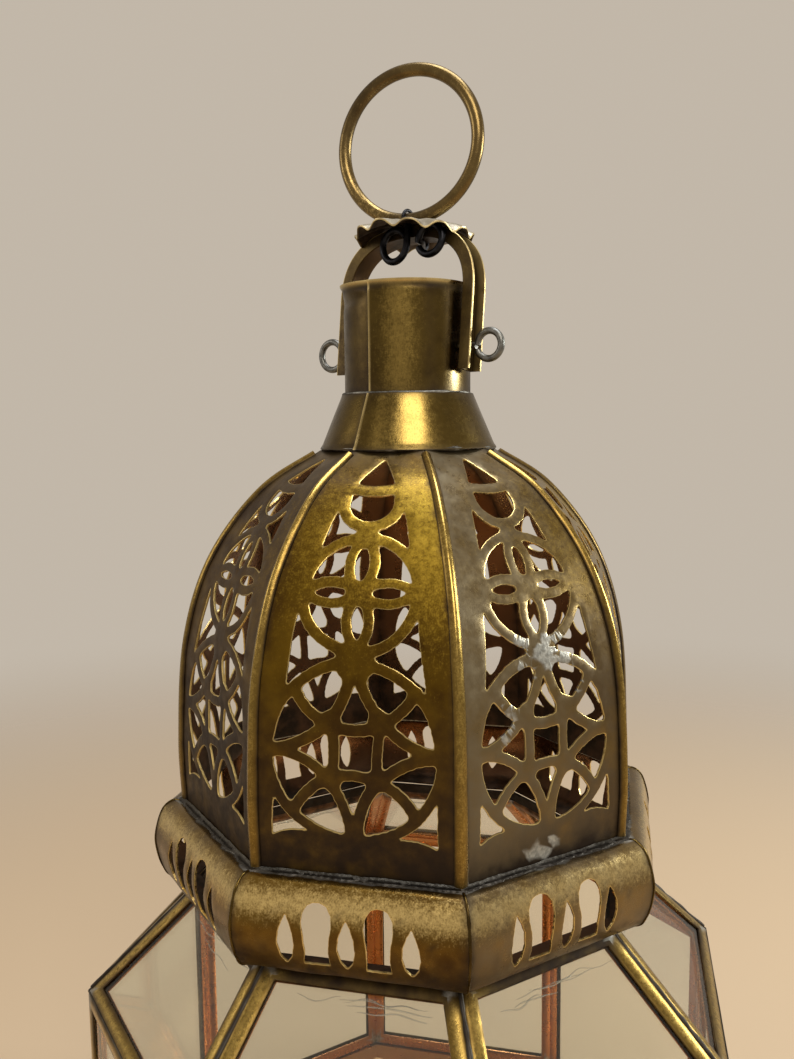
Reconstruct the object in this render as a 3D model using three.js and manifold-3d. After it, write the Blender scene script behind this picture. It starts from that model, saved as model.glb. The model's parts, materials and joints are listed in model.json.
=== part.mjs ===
// Pierced brass lantern: an octagonal glazed body, a fretted dome, a chimney, a swinging bail and a ring.
// Millimetres, +Z up. The origin is the centre of the foot, on the surface that the lantern stands on.
// Face 0, the door's face, looks along -Y, and the other faces follow it anticlockwise.
import * as THREE from 'three';
import { mergeVertices } from 'three/addons/utils/BufferGeometryUtils.js';
import Module from 'manifold-3d';

const wasm = await Module();
wasm.setup();

// Driving dimensions: the octagon and the clearances
const SIDES = 8;
const SEAT_GAP = 0.3;
const JOINT_GAP = 0.7;
const RUNNING_GAP = 0.35;
const SHEET = 0.8;

// Heights, from the foot upward
const PAN_HEIGHT = 20;
const LOWER_HEIGHT = 117.75;
const SHOULDER_RISE = 39;
const SHOULDER_TO_DOME = 31.5;
const DOME_HEIGHT = 128.65;
const CONE_HEIGHT = 19.5;
const CHIMNEY_HEIGHT = 38.6;

// Radii: to the corners of the octagon, or of the round pieces
const FOOT_RADIUS = 127.7;
const BODY_RADIUS = 123.1;
const SHOULDER_RADIUS = 81.6;
const DOME_RADIUS = 85;
const DOME_TOP_RADIUS = 32.6;
const CONE_INSET = 0.5;
const CHIMNEY_RADIUS = 23;

// Glazing: panes of sheet glass in grooved brass strips
const GLASS_THICKNESS = 1.8;
const CAME_DEPTH = 3.6;
const CAME_WIDTH = 4.2;
const RAIL_WIDTH = 5.4;
const GROOVE_INSET = 2.4;
const RAIL_GROOVE_INSET = 3.6;
const SOLDER_WIDTH = 1.7;

// Door in face 0: its hinge, its pin and the turn button over it
const DOOR_GAP = 0.6;
const DOOR_RAIL = 4.2;
const HINGE_INSET = 3.5;
const HINGE_OFFSET = 1.75;
const HINGE_PIN_RADIUS = 1.15;
const KNUCKLE_RADIUS = 2.1;
const LUG_HEIGHT = 4;
const BUTTON_LENGTH = 15;
const BUTTON_WIDTH = 4.2;
const BUTTON_THICKNESS = 1.2;
const BUTTON_PIVOT_RADIUS = 0.9;

// Collar: a rolled band of eight pierced segments under the dome
const COLLAR_RADIUS = 95.6;
const COLLAR_HEIGHT = 29.3;
const COLLAR_HOLE_PITCH = 9.6;
const COLLAR_HOLE_FOOT = 23.2;
const ARCH_HOLE = { half: 4.6, rise: 18.6, waist: 0.9 };
const OVAL_HOLE = { half: 2.5, rise: 13.2, waist: 0.5 };

// Dome: eight curved panels, with a half-round bead over each joint
const DOME_SHAPE = [[0, 1], [0.19, 1.01], [0.47, 0.955], [0.7, 0.77], [0.89, 0.415], [1, 0]];
const DOME_STEPS = 7;
const BEAD_WIDTH = 4.6;
const BEAD_HEIGHT = 0.95;
const ROUND_STEPS = 28;

// Fretwork of one dome panel, drawn on a flat sheet of this size: across the panel and up from its foot
const FRET_SHEET = { length: 146.3, domeRadius: 85 };
const FRET_WIDTH = 3.4;
const LOWER_CIRCLE = { height: 39, radius: 27.2 };
const UPPER_CIRCLE = { height: 87.6, radius: 18 };
const FRET_OUTLINE = [[26, 11.2], [25.6, 24], [26, 39], [22, 58], [19.4, 76], [18.2, 88],
  [14.4, 100], [10.6, 117.5], [7.6, 122.5], [6.2, 127.5], [0.5, 140.5]];
const CUP_BAND = { half: 8.8, height: 120.4, sag: 11, width: 3.8 };
const TOP_BAND = { half: 8, height: 125.6, sag: 1.6, width: 4.6 };
const STAR_TOP = { half: 18.6, height: 57.4, sag: 11.8 };
const STAR_FOOT = { half: 19, height: 21.4, rise: 11 };
const STAR_SIDE = { top: [7.8, 48.6], foot: [7.2, 31], upperBow: 6.9, lowerBow: 8 };
const PETAL = { inset: 0.6, uprightBow: 3.4, levelBow: 3.2, width: 3.1 };
const FOOT_BAND = { outer: [25.5, 10.4], inner: [12, 11.6], bow: 1.8, width: 2.6 };

// Chimney, bail and what hangs on them
const PIVOT_HEIGHT = 16.1;
const EYE_WIRE = 2.5;
const RIGHT_EYE = { radius: 4.8, centre: 34.6 };
const LEFT_EYE = { radius: 5.3, centre: 35.6 };
const STRAP_CLEARANCE = 2;
const STRAP_DEPTH = 4.4;
const STRAP_WIDTH = 8.6;
const STRAP_WALL = 0.9;
const STRAP_FOOT = 8.4;
const STRAP_SHOULDER = 18.8;
const STRAP_APEX = 40;
const STRAP_SQUARENESS = 2.5;
const BAIL_ANGLE = -Math.PI / SIDES;
const BAIL_LEAN = 0.1117;
const WASHER_RADIUS = 22;
const WASHER_FLAT = 7;
const WASHER_SHEET = 0.7;
const WASHER_DROOP = 3.6;
const WASHER_FLUTES = 12;
const FLUTE_DEPTH = 1.1;
const TIE_WIRE = 2.6;
const TIE_HOOP_WIRE = 1.3;
const TIE_EYE_RADIUS = 4.6;
const TIE_LEG_OFFSET = 3.1;
const TIE_EYE_DROP = 6.9;
const TIE_SHIFT = 4;
const TIE_HOOP_X = -2.6;
const TIE_BEND = 1.4;
const TIE_EYE_OPEN = 0.91;
const RING_RADIUS = 26.25;
const RING_WIRE = 4.7;
const RING_YAW = 0.21;
const RING_SHIFT = -1.85;

// Foot: a folded pan, with a candle cup on its floor
const PAN_SHEET = 1.2;
const PAN_FLOOR = 11;
const CUP_RADIUS = 27;
const CUP_HEIGHT = 18;
const CUP_SHEET = 1;

// Heights and widths worked out from the above
const HALF_ANGLE = Math.PI / SIDES;
const FLAT = Math.cos(HALF_ANGLE);
const RING_Z = PAN_HEIGHT + LOWER_HEIGHT;
const SHOULDER_Z = RING_Z + SHOULDER_RISE;
const DOME_Z = SHOULDER_Z + SHOULDER_TO_DOME;
const DOME_TOP_Z = DOME_Z + DOME_HEIGHT;
const CONE_TOP_Z = DOME_TOP_Z + SEAT_GAP + CONE_HEIGHT;
const CHIMNEY_TOP_Z = CONE_TOP_Z + CHIMNEY_HEIGHT;
const PIVOT_Z = CONE_TOP_Z + PIVOT_HEIGHT;
const STRAP_INSIDE = CHIMNEY_RADIUS + STRAP_CLEARANCE;
const STRAP_TOP_Z = PIVOT_Z + STRAP_APEX + STRAP_DEPTH;
const WASHER_TOP_Z = STRAP_TOP_Z + SEAT_GAP + WASHER_SHEET;
const RING_AXIS_Z = WASHER_TOP_Z + SEAT_GAP + RING_WIRE / 2;
const BODY_FLAT = BODY_RADIUS * FLAT;
const GROOVE_WIDTH = GLASS_THICKNESS + 2 * SEAT_GAP;
const FAR = 3 * BODY_RADIUS;

const material = (color, roughness, metalness) => (
  new THREE.MeshStandardMaterial({ color, roughness, metalness })
);
const BRASS = material(0x8a6a2c, 0.4, 1);
const WORN_BRASS = material(0xa98538, 0.32, 1);
const TARNISHED = material(0x8f8668, 0.45, 1);
const BLACK_IRON = material(0x1c1b1e, 0.5, 0.8);
const GREY_IRON = material(0x55544f, 0.45, 0.9);
const GLASS = new THREE.MeshStandardMaterial({
  color: 0xdde4e0, roughness: 0.05, metalness: 0, transparent: true, opacity: 0.3,
});

const lantern = new THREE.Group();

// A closed body from corner points and triangles, turned so that its faces point out
function bodyFrom(points, triangles) {
  let volume = 0;
  for (const [a, b, c] of triangles) {
    volume += points[a].dot(new THREE.Vector3().crossVectors(points[b], points[c]));
  }
  const order = volume < 0 ? triangles.map(([a, b, c]) => [a, c, b]) : triangles;
  const geometry = new THREE.BufferGeometry();
  const flat = points.flatMap((p) => [p.x, p.y, p.z]);
  geometry.setAttribute('position', new THREE.Float32BufferAttribute(flat, 3));
  geometry.setIndex(order.flat());
  return geometry;
}

// A manifold solid from a closed geometry, without the triangles that have no area
function solid(geometry) {
  const bare = geometry.clone();
  bare.deleteAttribute('normal');
  bare.deleteAttribute('uv');
  const merged = mergeVertices(bare, 1e-4);
  const index = merged.index.array;
  const kept = [];
  for (let i = 0; i < index.length; i += 3) {
    const [a, b, c] = [index[i], index[i + 1], index[i + 2]];
    if (a !== b && b !== c && c !== a) kept.push(a, b, c);
  }
  return new wasm.Manifold(new wasm.Mesh({
    numProp: 3,
    vertProperties: new Float32Array(merged.attributes.position.array),
    triVerts: new Uint32Array(kept),
  }));
}

function geometryOf(manifold) {
  const mesh = manifold.getMesh();
  const geometry = new THREE.BufferGeometry();
  geometry.setAttribute('position', new THREE.BufferAttribute(new Float32Array(mesh.vertProperties), 3));
  geometry.setIndex(new THREE.BufferAttribute(new Uint32Array(mesh.triVerts), 1));
  return geometry;
}

const joined = (solids) => solids.reduce((sum, next) => sum.add(next));
const turned = (geometry, angle) => geometry.clone().rotateZ(angle);

function addPiece(name, geometry, look, parent = lantern) {
  const mesh = new THREE.Mesh(geometry, look);
  mesh.name = name;
  parent.add(mesh);
  return mesh;
}

// One copy of a piece on each side of the lantern, numbered from the door's face
function addAround(name, geometry, look, faces = [...Array(SIDES).keys()], offset = 0) {
  for (const face of faces) {
    const mesh = addPiece(`${name}_${face + 1}`, geometry, look);
    mesh.rotation.z = 2 * HALF_ANGLE * (face + offset);
  }
}

// A body lofted through rings of points; the first and last ring are its ends
function loft(rings) {
  const count = rings[0].length;
  const points = rings.flat();
  const triangles = [];
  for (let i = 0; i + 1 < rings.length; i += 1) {
    for (let j = 0; j < count; j += 1) {
      const a = i * count + j;
      const b = i * count + (j + 1) % count;
      triangles.push([a, b, b + count], [a, b + count, a + count]);
    }
  }
  const first = rings[0];
  const normal = new THREE.Vector3();
  first.forEach((p, j) => normal.add(new THREE.Vector3().crossVectors(p, first[(j + 1) % count])));
  normal.normalize();
  const side = new THREE.Vector3().subVectors(first[1], first[0]).normalize();
  const up = new THREE.Vector3().crossVectors(normal, side);
  const flat = first.map((p) => new THREE.Vector2(p.dot(side), p.dot(up)));
  for (const [a, b, c] of THREE.ShapeUtils.triangulateShape(flat, [])) {
    const end = (rings.length - 1) * count;
    triangles.push([c, b, a], [end + a, end + b, end + c]);
  }
  return bodyFrom(points, triangles);
}

// A closed outline of [radius, height] turned about Z
function revolve(profile, steps, startAngle = 0) {
  const points = [];
  const triangles = [];
  const count = profile.length;
  for (let i = 0; i < steps; i += 1) {
    const angle = startAngle + (2 * Math.PI * i) / steps;
    for (const [radius, z] of profile) {
      points.push(new THREE.Vector3(radius * Math.cos(angle), radius * Math.sin(angle), z));
    }
    for (let j = 0; j < count; j += 1) {
      const a = i * count + j;
      const b = i * count + (j + 1) % count;
      const c = ((i + 1) % steps) * count + (j + 1) % count;
      const d = ((i + 1) % steps) * count + j;
      if (profile[(j + 1) % count][0] > 0) triangles.push([a, b, c]);
      if (profile[j][0] > 0) triangles.push([a, c, d]);
    }
  }
  return bodyFrom(points, triangles);
}

// An outline of [across, up] points, made thick along the plane's normal and set on that plane
function plate(outline, thickness, plane) {
  const shape = new THREE.Shape(outline.map(([x, y]) => new THREE.Vector2(x, y)));
  const geometry = new THREE.ExtrudeGeometry(shape, { depth: thickness, bevelEnabled: false });
  const normal = new THREE.Vector3().crossVectors(plane.across, plane.up);
  const frame = new THREE.Matrix4().makeBasis(plane.across, plane.up, normal).setPosition(plane.origin);
  return geometry.applyMatrix4(frame);
}

function box(low, high) {
  const size = new THREE.Vector3().subVectors(high, low);
  const middle = new THREE.Vector3().addVectors(low, high).multiplyScalar(0.5);
  return new THREE.BoxGeometry(size.x, size.y, size.z).translate(middle.x, middle.y, middle.z);
}

function rod(radius, from, to, sides = 12) {
  const span = new THREE.Vector3().subVectors(to, from);
  const along = span.clone().normalize();
  const turn = new THREE.Quaternion().setFromUnitVectors(new THREE.Vector3(0, 1, 0), along);
  const middle = new THREE.Vector3().addVectors(from, to).multiplyScalar(0.5);
  return new THREE.CylinderGeometry(radius, radius, span.length(), sides)
    .applyQuaternion(turn).translate(middle.x, middle.y, middle.z);
}

// The space of face 0 between the two planes through its corners, less half a joint gap at each
function wedge(gap) {
  const reach = FAR * Math.tan(HALF_ANGLE);
  const apex = gap / 2 / Math.sin(HALF_ANGLE);
  const outline = [[0, -apex], [-reach, -FAR - apex], [reach, -FAR - apex]];
  return solid(plate(outline, 2 * FAR, {
    across: new THREE.Vector3(1, 0, 0),
    up: new THREE.Vector3(0, 1, 0),
    origin: new THREE.Vector3(0, 0, -FAR / 2),
  }));
}

// Foot pan: a floor with a folded octagonal skirt that the lantern stands on
function makePan() {
  const top = BODY_RADIUS;
  const profile = [
    [FOOT_RADIUS, 0], [FOOT_RADIUS, PAN_SHEET * 2], [FOOT_RADIUS - PAN_SHEET, PAN_SHEET * 3],
    [top, PAN_HEIGHT - PAN_SHEET * 2], [top, PAN_HEIGHT], [top - CAME_DEPTH - PAN_SHEET, PAN_HEIGHT],
    [top - CAME_DEPTH - PAN_SHEET, PAN_FLOOR + PAN_SHEET], [0, PAN_FLOOR + PAN_SHEET], [0, PAN_FLOOR],
    [top - CAME_DEPTH, PAN_FLOOR], [top - CAME_DEPTH, PAN_FLOOR - PAN_SHEET * 2],
    [FOOT_RADIUS - PAN_SHEET * 2, PAN_SHEET * 2], [FOOT_RADIUS - PAN_SHEET * 2, 0],
  ];
  addPiece('base_pan', revolve(profile, SIDES, HALF_ANGLE), BRASS);
}

// Candle cup on the floor of the pan
function makeCup() {
  const foot = PAN_FLOOR + PAN_SHEET + SEAT_GAP;
  const top = foot + CUP_HEIGHT;
  const profile = [
    [0, foot], [CUP_RADIUS, foot], [CUP_RADIUS + CUP_SHEET, top], [CUP_RADIUS, top],
    [CUP_RADIUS - CUP_SHEET, foot + CUP_SHEET], [0, foot + CUP_SHEET],
  ];
  addPiece('candle_cup', revolve(profile, 24), BRASS);
}

// One leaning or upright pane: its plane in face 0, and its outline with each side set in
function paneOn(lowRadius, lowZ, highRadius, highZ) {
  const low = new THREE.Vector3(0, -lowRadius * FLAT, lowZ);
  const high = new THREE.Vector3(0, -highRadius * FLAT, highZ);
  const length = low.distanceTo(high);
  const plane = {
    across: new THREE.Vector3(1, 0, 0),
    up: new THREE.Vector3().subVectors(high, low).normalize(),
    origin: low,
  };
  const lowHalf = lowRadius * Math.sin(HALF_ANGLE);
  const slope = (lowHalf - highRadius * Math.sin(HALF_ANGLE)) / length;
  const outline = (side, foot, head) => {
    const inset = side * Math.hypot(1, slope);
    const halfAt = (up) => lowHalf - slope * up - inset;
    const top = length - head;
    return [[-halfAt(foot), foot], [halfAt(foot), foot], [halfAt(top), top], [-halfAt(top), top]];
  };
  return { plane, outline, length };
}

function plateAtDepth(outline, pane, depth, thickness) {
  const normal = new THREE.Vector3().crossVectors(pane.plane.across, pane.plane.up);
  const origin = pane.plane.origin.clone().addScaledVector(normal, -depth - thickness);
  return plate(outline, thickness, { ...pane.plane, origin });
}

// The grooved strips round one pane, mitred at the corners of the octagon
function cameFrame(pane, rails, mitre) {
  const grooveDepth = (CAME_DEPTH - GROOVE_WIDTH) / 2;
  const blank = solid(plateAtDepth(pane.outline(0, rails.foot, rails.head), pane, 0, CAME_DEPTH));
  const opening = pane.outline(CAME_WIDTH, rails.foot + rails.width, rails.head + rails.width);
  const seat = pane.outline(GROOVE_INSET, rails.foot + rails.groove, rails.head + rails.groove);
  return blank.intersect(mitre)
    .subtract(solid(plateAtDepth(opening, pane, -1, CAME_DEPTH + 2)))
    .subtract(solid(plateAtDepth(seat, pane, grooveDepth, GROOVE_WIDTH)));
}

// The sheet of glass that fills a frame's groove
function glassIn(pane, rails) {
  const edge = rails.groove + SEAT_GAP;
  const outline = pane.outline(GROOVE_INSET + SEAT_GAP, rails.foot + edge, rails.head + edge);
  return plateAtDepth(outline, pane, (CAME_DEPTH - GLASS_THICKNESS) / 2, GLASS_THICKNESS);
}

// A run of solder along one corner of the octagon, which joins the strips on both its sides
function solderRun(lowRadius, lowZ, highRadius, highZ) {
  const inset = CAME_DEPTH / 2;
  const half = SOLDER_WIDTH / 2;
  const ring = (radius, z) => [[-half, -inset - half], [half, -inset - half], [half, -inset + half],
    [-half, -inset + half]].map(([x, y]) => new THREE.Vector3(x, -radius - y, z));
  return loft([ring(lowRadius, lowZ), ring(highRadius, highZ)]);
}

const upperPane = paneOn(BODY_RADIUS, RING_Z, SHOULDER_RADIUS, SHOULDER_Z);
const lowerPane = paneOn(BODY_RADIUS, PAN_HEIGHT + SEAT_GAP, BODY_RADIUS, RING_Z - SEAT_GAP);
const frameRails = { foot: 0, head: 0, width: RAIL_WIDTH, groove: RAIL_GROOVE_INSET };
const doorRails = {
  foot: DOOR_RAIL + DOOR_GAP,
  head: DOOR_RAIL + DOOR_GAP,
  width: CAME_WIDTH,
  groove: GROOVE_INSET,
};

function makeUpperGlazing() {
  const frame = geometryOf(cameFrame(upperPane, frameRails, wedge(JOINT_GAP)));
  const frames = [];
  for (let face = 0; face < SIDES; face += 1) {
    frames.push(solid(turned(frame, 2 * HALF_ANGLE * face)));
    const run = solderRun(BODY_RADIUS, RING_Z, SHOULDER_RADIUS, SHOULDER_Z);
    frames.push(solid(turned(run, HALF_ANGLE * (2 * face + 1))));
  }
  const above = solid(box(new THREE.Vector3(-FAR, -FAR, RING_Z), new THREE.Vector3(FAR, FAR, FAR)));
  const neckTop = DOME_Z - COLLAR_HEIGHT - SEAT_GAP;
  const neckInside = SHOULDER_RADIUS - CAME_DEPTH / 2;
  const neck = solid(revolve([
    [SHOULDER_RADIUS, SHOULDER_Z - SHEET], [SHOULDER_RADIUS, neckTop], [neckInside, neckTop],
    [neckInside, SHOULDER_Z - CAME_DEPTH],
  ], SIDES, HALF_ANGLE));
  addPiece('upper_glazing_frame', geometryOf(joined(frames).add(neck).intersect(above)), WORN_BRASS);
  addAround('upper_glass', glassIn(upperPane, frameRails), GLASS);
}

// Hinge line of the door: upright, just outside face 0 and near its left corner
const hingeX = HINGE_INSET - BODY_RADIUS * Math.sin(HALF_ANGLE);
const hingeY = -BODY_FLAT - HINGE_OFFSET;
const hingeAt = (z) => new THREE.Vector3(hingeX, hingeY, z);
const doorFootZ = PAN_HEIGHT + SEAT_GAP + doorRails.foot;
const doorHeadZ = RING_Z - SEAT_GAP - doorRails.head;
const buttonZ = RING_Z - SEAT_GAP - DOOR_RAIL / 2;
const buttonY = -BODY_FLAT - SEAT_GAP;

function makeLowerGlazing() {
  const mitre = wedge(JOINT_GAP);
  const frame = geometryOf(cameFrame(lowerPane, frameRails, mitre));
  const parts = [];
  for (let face = 0; face < SIDES; face += 1) {
    if (face > 0) parts.push(solid(turned(frame, 2 * HALF_ANGLE * face)));
    const run = solderRun(BODY_RADIUS, PAN_HEIGHT + SEAT_GAP, BODY_RADIUS, RING_Z - SEAT_GAP);
    parts.push(solid(turned(run, HALF_ANGLE * (2 * face + 1))));
  }
  const strip = (foot, head) => {
    const outline = lowerPane.outline(0, foot, head);
    return solid(plateAtDepth(outline, lowerPane, 0, CAME_DEPTH)).intersect(mitre);
  };
  parts.push(strip(0, lowerPane.length - DOOR_RAIL), strip(lowerPane.length - DOOR_RAIL, 0));
  const lugFoot = PAN_HEIGHT + SEAT_GAP;
  const lugHead = RING_Z - SEAT_GAP;
  parts.push(solid(rod(KNUCKLE_RADIUS, hingeAt(lugFoot), hingeAt(lugFoot + LUG_HEIGHT))));
  parts.push(solid(rod(KNUCKLE_RADIUS, hingeAt(lugHead - LUG_HEIGHT), hingeAt(lugHead))));
  const pinHole = rod(HINGE_PIN_RADIUS + SEAT_GAP, hingeAt(lugFoot + SHEET), hingeAt(lugHead + 1));
  const pivotHole = rod(
    BUTTON_PIVOT_RADIUS + RUNNING_GAP,
    new THREE.Vector3(0, -BODY_FLAT - 1, buttonZ),
    new THREE.Vector3(0, CAME_DEPTH + 1 - BODY_FLAT, buttonZ),
  );
  const whole = joined(parts).subtract(solid(pinHole)).subtract(solid(pivotHole));
  addPiece('lower_glazing_frame', geometryOf(whole), WORN_BRASS);
  addAround('lower_glass', glassIn(lowerPane, frameRails), GLASS, [1, 2, 3, 4, 5, 6, 7]);
}

function makeDoor() {
  const mitre = wedge(SOLDER_WIDTH + 2 * RUNNING_GAP);
  const knuckleFoot = PAN_HEIGHT + SEAT_GAP + LUG_HEIGHT + DOOR_GAP + SEAT_GAP;
  const knuckleHead = RING_Z - SEAT_GAP - LUG_HEIGHT - DOOR_GAP - SEAT_GAP;
  const knuckle = solid(rod(KNUCKLE_RADIUS, hingeAt(knuckleFoot), hingeAt(knuckleHead)));
  const hole = rod(HINGE_PIN_RADIUS + SEAT_GAP, hingeAt(knuckleFoot - 1), hingeAt(knuckleHead + 1));
  const frame = cameFrame(lowerPane, doorRails, mitre).add(knuckle).subtract(solid(hole));
  addPiece('door_frame', geometryOf(frame), WORN_BRASS);
  addPiece('door_glass', glassIn(lowerPane, doorRails), GLASS);
  const pin = rod(
    HINGE_PIN_RADIUS,
    hingeAt(PAN_HEIGHT + 2 * SEAT_GAP + SHEET),
    hingeAt(RING_Z - SEAT_GAP),
  );
  addPiece('door_hinge_pin', pin, BRASS);
  const half = BUTTON_WIDTH / 2;
  const bar = box(
    new THREE.Vector3(-half, buttonY - BUTTON_THICKNESS, buttonZ - half),
    new THREE.Vector3(BUTTON_LENGTH - half, buttonY, buttonZ + half),
  );
  const pivot = rod(
    BUTTON_PIVOT_RADIUS,
    new THREE.Vector3(0, buttonY - BUTTON_THICKNESS / 2, buttonZ),
    new THREE.Vector3(0, CAME_DEPTH + SHEET - BODY_FLAT, buttonZ),
  );
  addPiece('door_latch', geometryOf(solid(bar).add(solid(pivot))), BRASS);
}

// Rolled collar: a rounded shoulder, a near upright side and a foot that curls in
function collarProfile() {
  const swell = COLLAR_RADIUS - DOME_RADIUS;
  const outside = [[0.06, 0], [0.4, -0.02], [0.76, 0.1], [1, 0.4], [0.97, 0.62], [0.8, 0.83], [0.5, 0.97]];
  const line = outside.map(([out, down]) => new THREE.Vector2(
    (DOME_RADIUS + out * swell) * FLAT + SEAT_GAP,
    DOME_Z - down * COLLAR_HEIGHT,
  ));
  const foot = new THREE.Vector2((SHOULDER_RADIUS - SHEET / 2) * FLAT, DOME_Z - COLLAR_HEIGHT);
  return [...line, foot];
}

// A strip of sheet on one side of a line of points
function sheetAlong(line, thickness) {
  const inner = line.map((p, i) => {
    const before = line[Math.max(i - 1, 0)];
    const after = line[Math.min(i + 1, line.length - 1)];
    const along = new THREE.Vector2().subVectors(after, before).normalize();
    return new THREE.Vector2(p.x + along.y * thickness, p.y - along.x * thickness);
  });
  return [...line, ...inner.reverse()];
}

// Holes of one collar segment: pointed ovals between round-headed arches
function collarHole(centre, { half, rise, waist }) {
  const foot = DOME_Z - COLLAR_HOLE_FOOT;
  const outline = [[-half * waist, 0], [-half, rise * 0.55], [-half * 0.6, rise * 0.92], [0, rise],
    [half * 0.6, rise * 0.92], [half, rise * 0.55], [half * waist, 0]];
  const depth = COLLAR_RADIUS - DOME_RADIUS + 2 * SHEET;
  return solid(plate(outline, depth, {
    across: new THREE.Vector3(1, 0, 0),
    up: new THREE.Vector3(0, 0, 1),
    origin: new THREE.Vector3(centre, SHEET - DOME_RADIUS * FLAT, foot),
  }));
}

function makeCollar() {
  const halfLength = COLLAR_RADIUS * Math.tan(HALF_ANGLE);
  const ends = [-halfLength, halfLength].map((x) => sheetAlong(collarProfile(), SHEET)
    .map((p) => new THREE.Vector3(x, -p.x, p.y)));
  let segment = solid(loft(ends)).intersect(wedge(SEAT_GAP));
  for (const place of [-2, -1, 0, 1, 2]) {
    const shape = Math.abs(place) === 1 ? ARCH_HOLE : OVAL_HOLE;
    segment = segment.subtract(collarHole(place * COLLAR_HOLE_PITCH, shape));
  }
  addAround('collar_segment', geometryOf(segment), BRASS);
}

// Line of the dome, up the middle of a panel, as distance from the axis and height
const domeLine = new THREE.SplineCurve(DOME_SHAPE.map(([up, out]) => new THREE.Vector2(
  (DOME_TOP_RADIUS + out * (DOME_RADIUS - DOME_TOP_RADIUS)) * FLAT,
  DOME_Z + SEAT_GAP + up * (DOME_HEIGHT - SEAT_GAP),
)));
const domeLength = domeLine.getLength();

// A point on the sheet of panel 0: across, up along its line, and out from its outer face
function onDome(across, up, out) {
  const share = THREE.MathUtils.clamp(up / domeLength, 0, 1);
  const place = domeLine.getPointAt(share);
  const along = domeLine.getTangentAt(share);
  return new THREE.Vector3(across, -(place.x + out * along.y), place.y - out * along.x);
}

// A point of the fretwork's drawing on the panel, which stretches with the panel
const onFret = (across, up, out) => onDome(
  across * DOME_RADIUS / FRET_SHEET.domeRadius,
  up * domeLength / FRET_SHEET.length,
  out,
);

// A bar of the fretwork, along a line of [across, up] points, straight through the sheet
function fretBar(line, width = FRET_WIDTH) {
  const [, middleUp] = line[Math.floor(line.length / 2)];
  const through = onFret(0, middleUp, 5 * SHEET).sub(onFret(0, middleUp, 0));
  return solid(loft(line.map(([x, y], i) => {
    const [x0, y0] = line[Math.max(i - 1, 0)];
    const [x1, y1] = line[Math.min(i + 1, line.length - 1)];
    const length = Math.hypot(x1 - x0, y1 - y0);
    const [sideX, sideY] = [(y0 - y1) / length * width / 2, (x1 - x0) / length * width / 2];
    return [[1, 1], [-1, 1], [-1, -1], [1, -1]].map(([side, out]) => (
      onFret(x + side * sideX, y + side * sideY, 0).addScaledVector(through, out)));
  })));
}

// Points of an arc from one end to the other that bows to its left by the given rise
function arc([x0, y0], [x1, y1], rise, steps) {
  const half = Math.hypot(x1 - x0, y1 - y0) / 2;
  const radius = (half * half + rise * rise) / (2 * Math.abs(rise));
  const spread = 2 * Math.atan2(Math.abs(rise), half);
  const [alongX, alongY] = [(x1 - x0) / half / 2, (y1 - y0) / half / 2];
  const points = [];
  for (let i = 0; i <= steps; i += 1) {
    const angle = spread * (2 * i / steps - 1);
    const run = half + radius * Math.sin(angle);
    const lift = Math.sign(rise) * (radius * Math.cos(angle) - radius * Math.cos(spread));
    points.push([x0 + alongX * run - alongY * lift, y0 + alongY * run + alongX * lift]);
  }
  return points;
}

const circleLine = ({ height, radius }, from, to, steps) => {
  const points = [];
  for (let i = 0; i <= steps; i += 1) {
    const angle = from + (to - from) * i / steps;
    points.push([radius * Math.cos(angle), height + radius * Math.sin(angle)]);
  }
  return points;
};

// Interlaced circles, a four-petalled flower and a four-pointed star, cut from one panel
function fretBars() {
  const low = LOWER_CIRCLE.height;
  const lowRadius = LOWER_CIRCLE.radius;
  const high = UPPER_CIRCLE.height;
  const petal = UPPER_CIRCLE.radius - PETAL.inset;
  const level = ({ half, height }) => [[-half, height], [half, height]];
  const bars = [
    fretBar(circleLine(LOWER_CIRCLE, -Math.PI, 0, 8)),
    fretBar(circleLine(LOWER_CIRCLE, 0, Math.PI, 8)),
    fretBar(circleLine(UPPER_CIRCLE, -Math.PI, 0, 6)),
    fretBar(circleLine(UPPER_CIRCLE, 0, Math.PI, 6)),
    fretBar(arc(...level(CUP_BAND), -CUP_BAND.sag, 4), CUP_BAND.width),
    fretBar(arc(...level(TOP_BAND), -TOP_BAND.sag, 2), TOP_BAND.width),
    fretBar(arc(...level(STAR_TOP), -STAR_TOP.sag, 5)),
    fretBar(arc(...level(STAR_FOOT), STAR_FOOT.rise, 5)),
  ];
  for (const side of [-1, 1]) {
    const mirrored = ([across, up]) => [side * across, up];
    const tip = [side * lowRadius, low];
    bars.push(
      fretBar(arc([side, low + lowRadius], tip, side * -STAR_SIDE.upperBow, 3)),
      fretBar(arc(tip, [side, low - lowRadius], side * -STAR_SIDE.lowerBow, 3)),
      fretBar([mirrored(STAR_SIDE.top), mirrored(STAR_SIDE.foot)]),
      fretBar(
        arc(mirrored(FOOT_BAND.outer), mirrored(FOOT_BAND.inner), side * -FOOT_BAND.bow, 2),
        FOOT_BAND.width,
      ),
    );
    for (const bow of [-1, 1]) {
      bars.push(
        fretBar(arc([0, high], [0, high + side * petal], bow * PETAL.uprightBow, 2), PETAL.width),
        fretBar(arc([0, high], [side * petal, high], bow * PETAL.levelBow, 2), PETAL.width),
      );
    }
  }
  return joined(bars);
}

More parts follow.
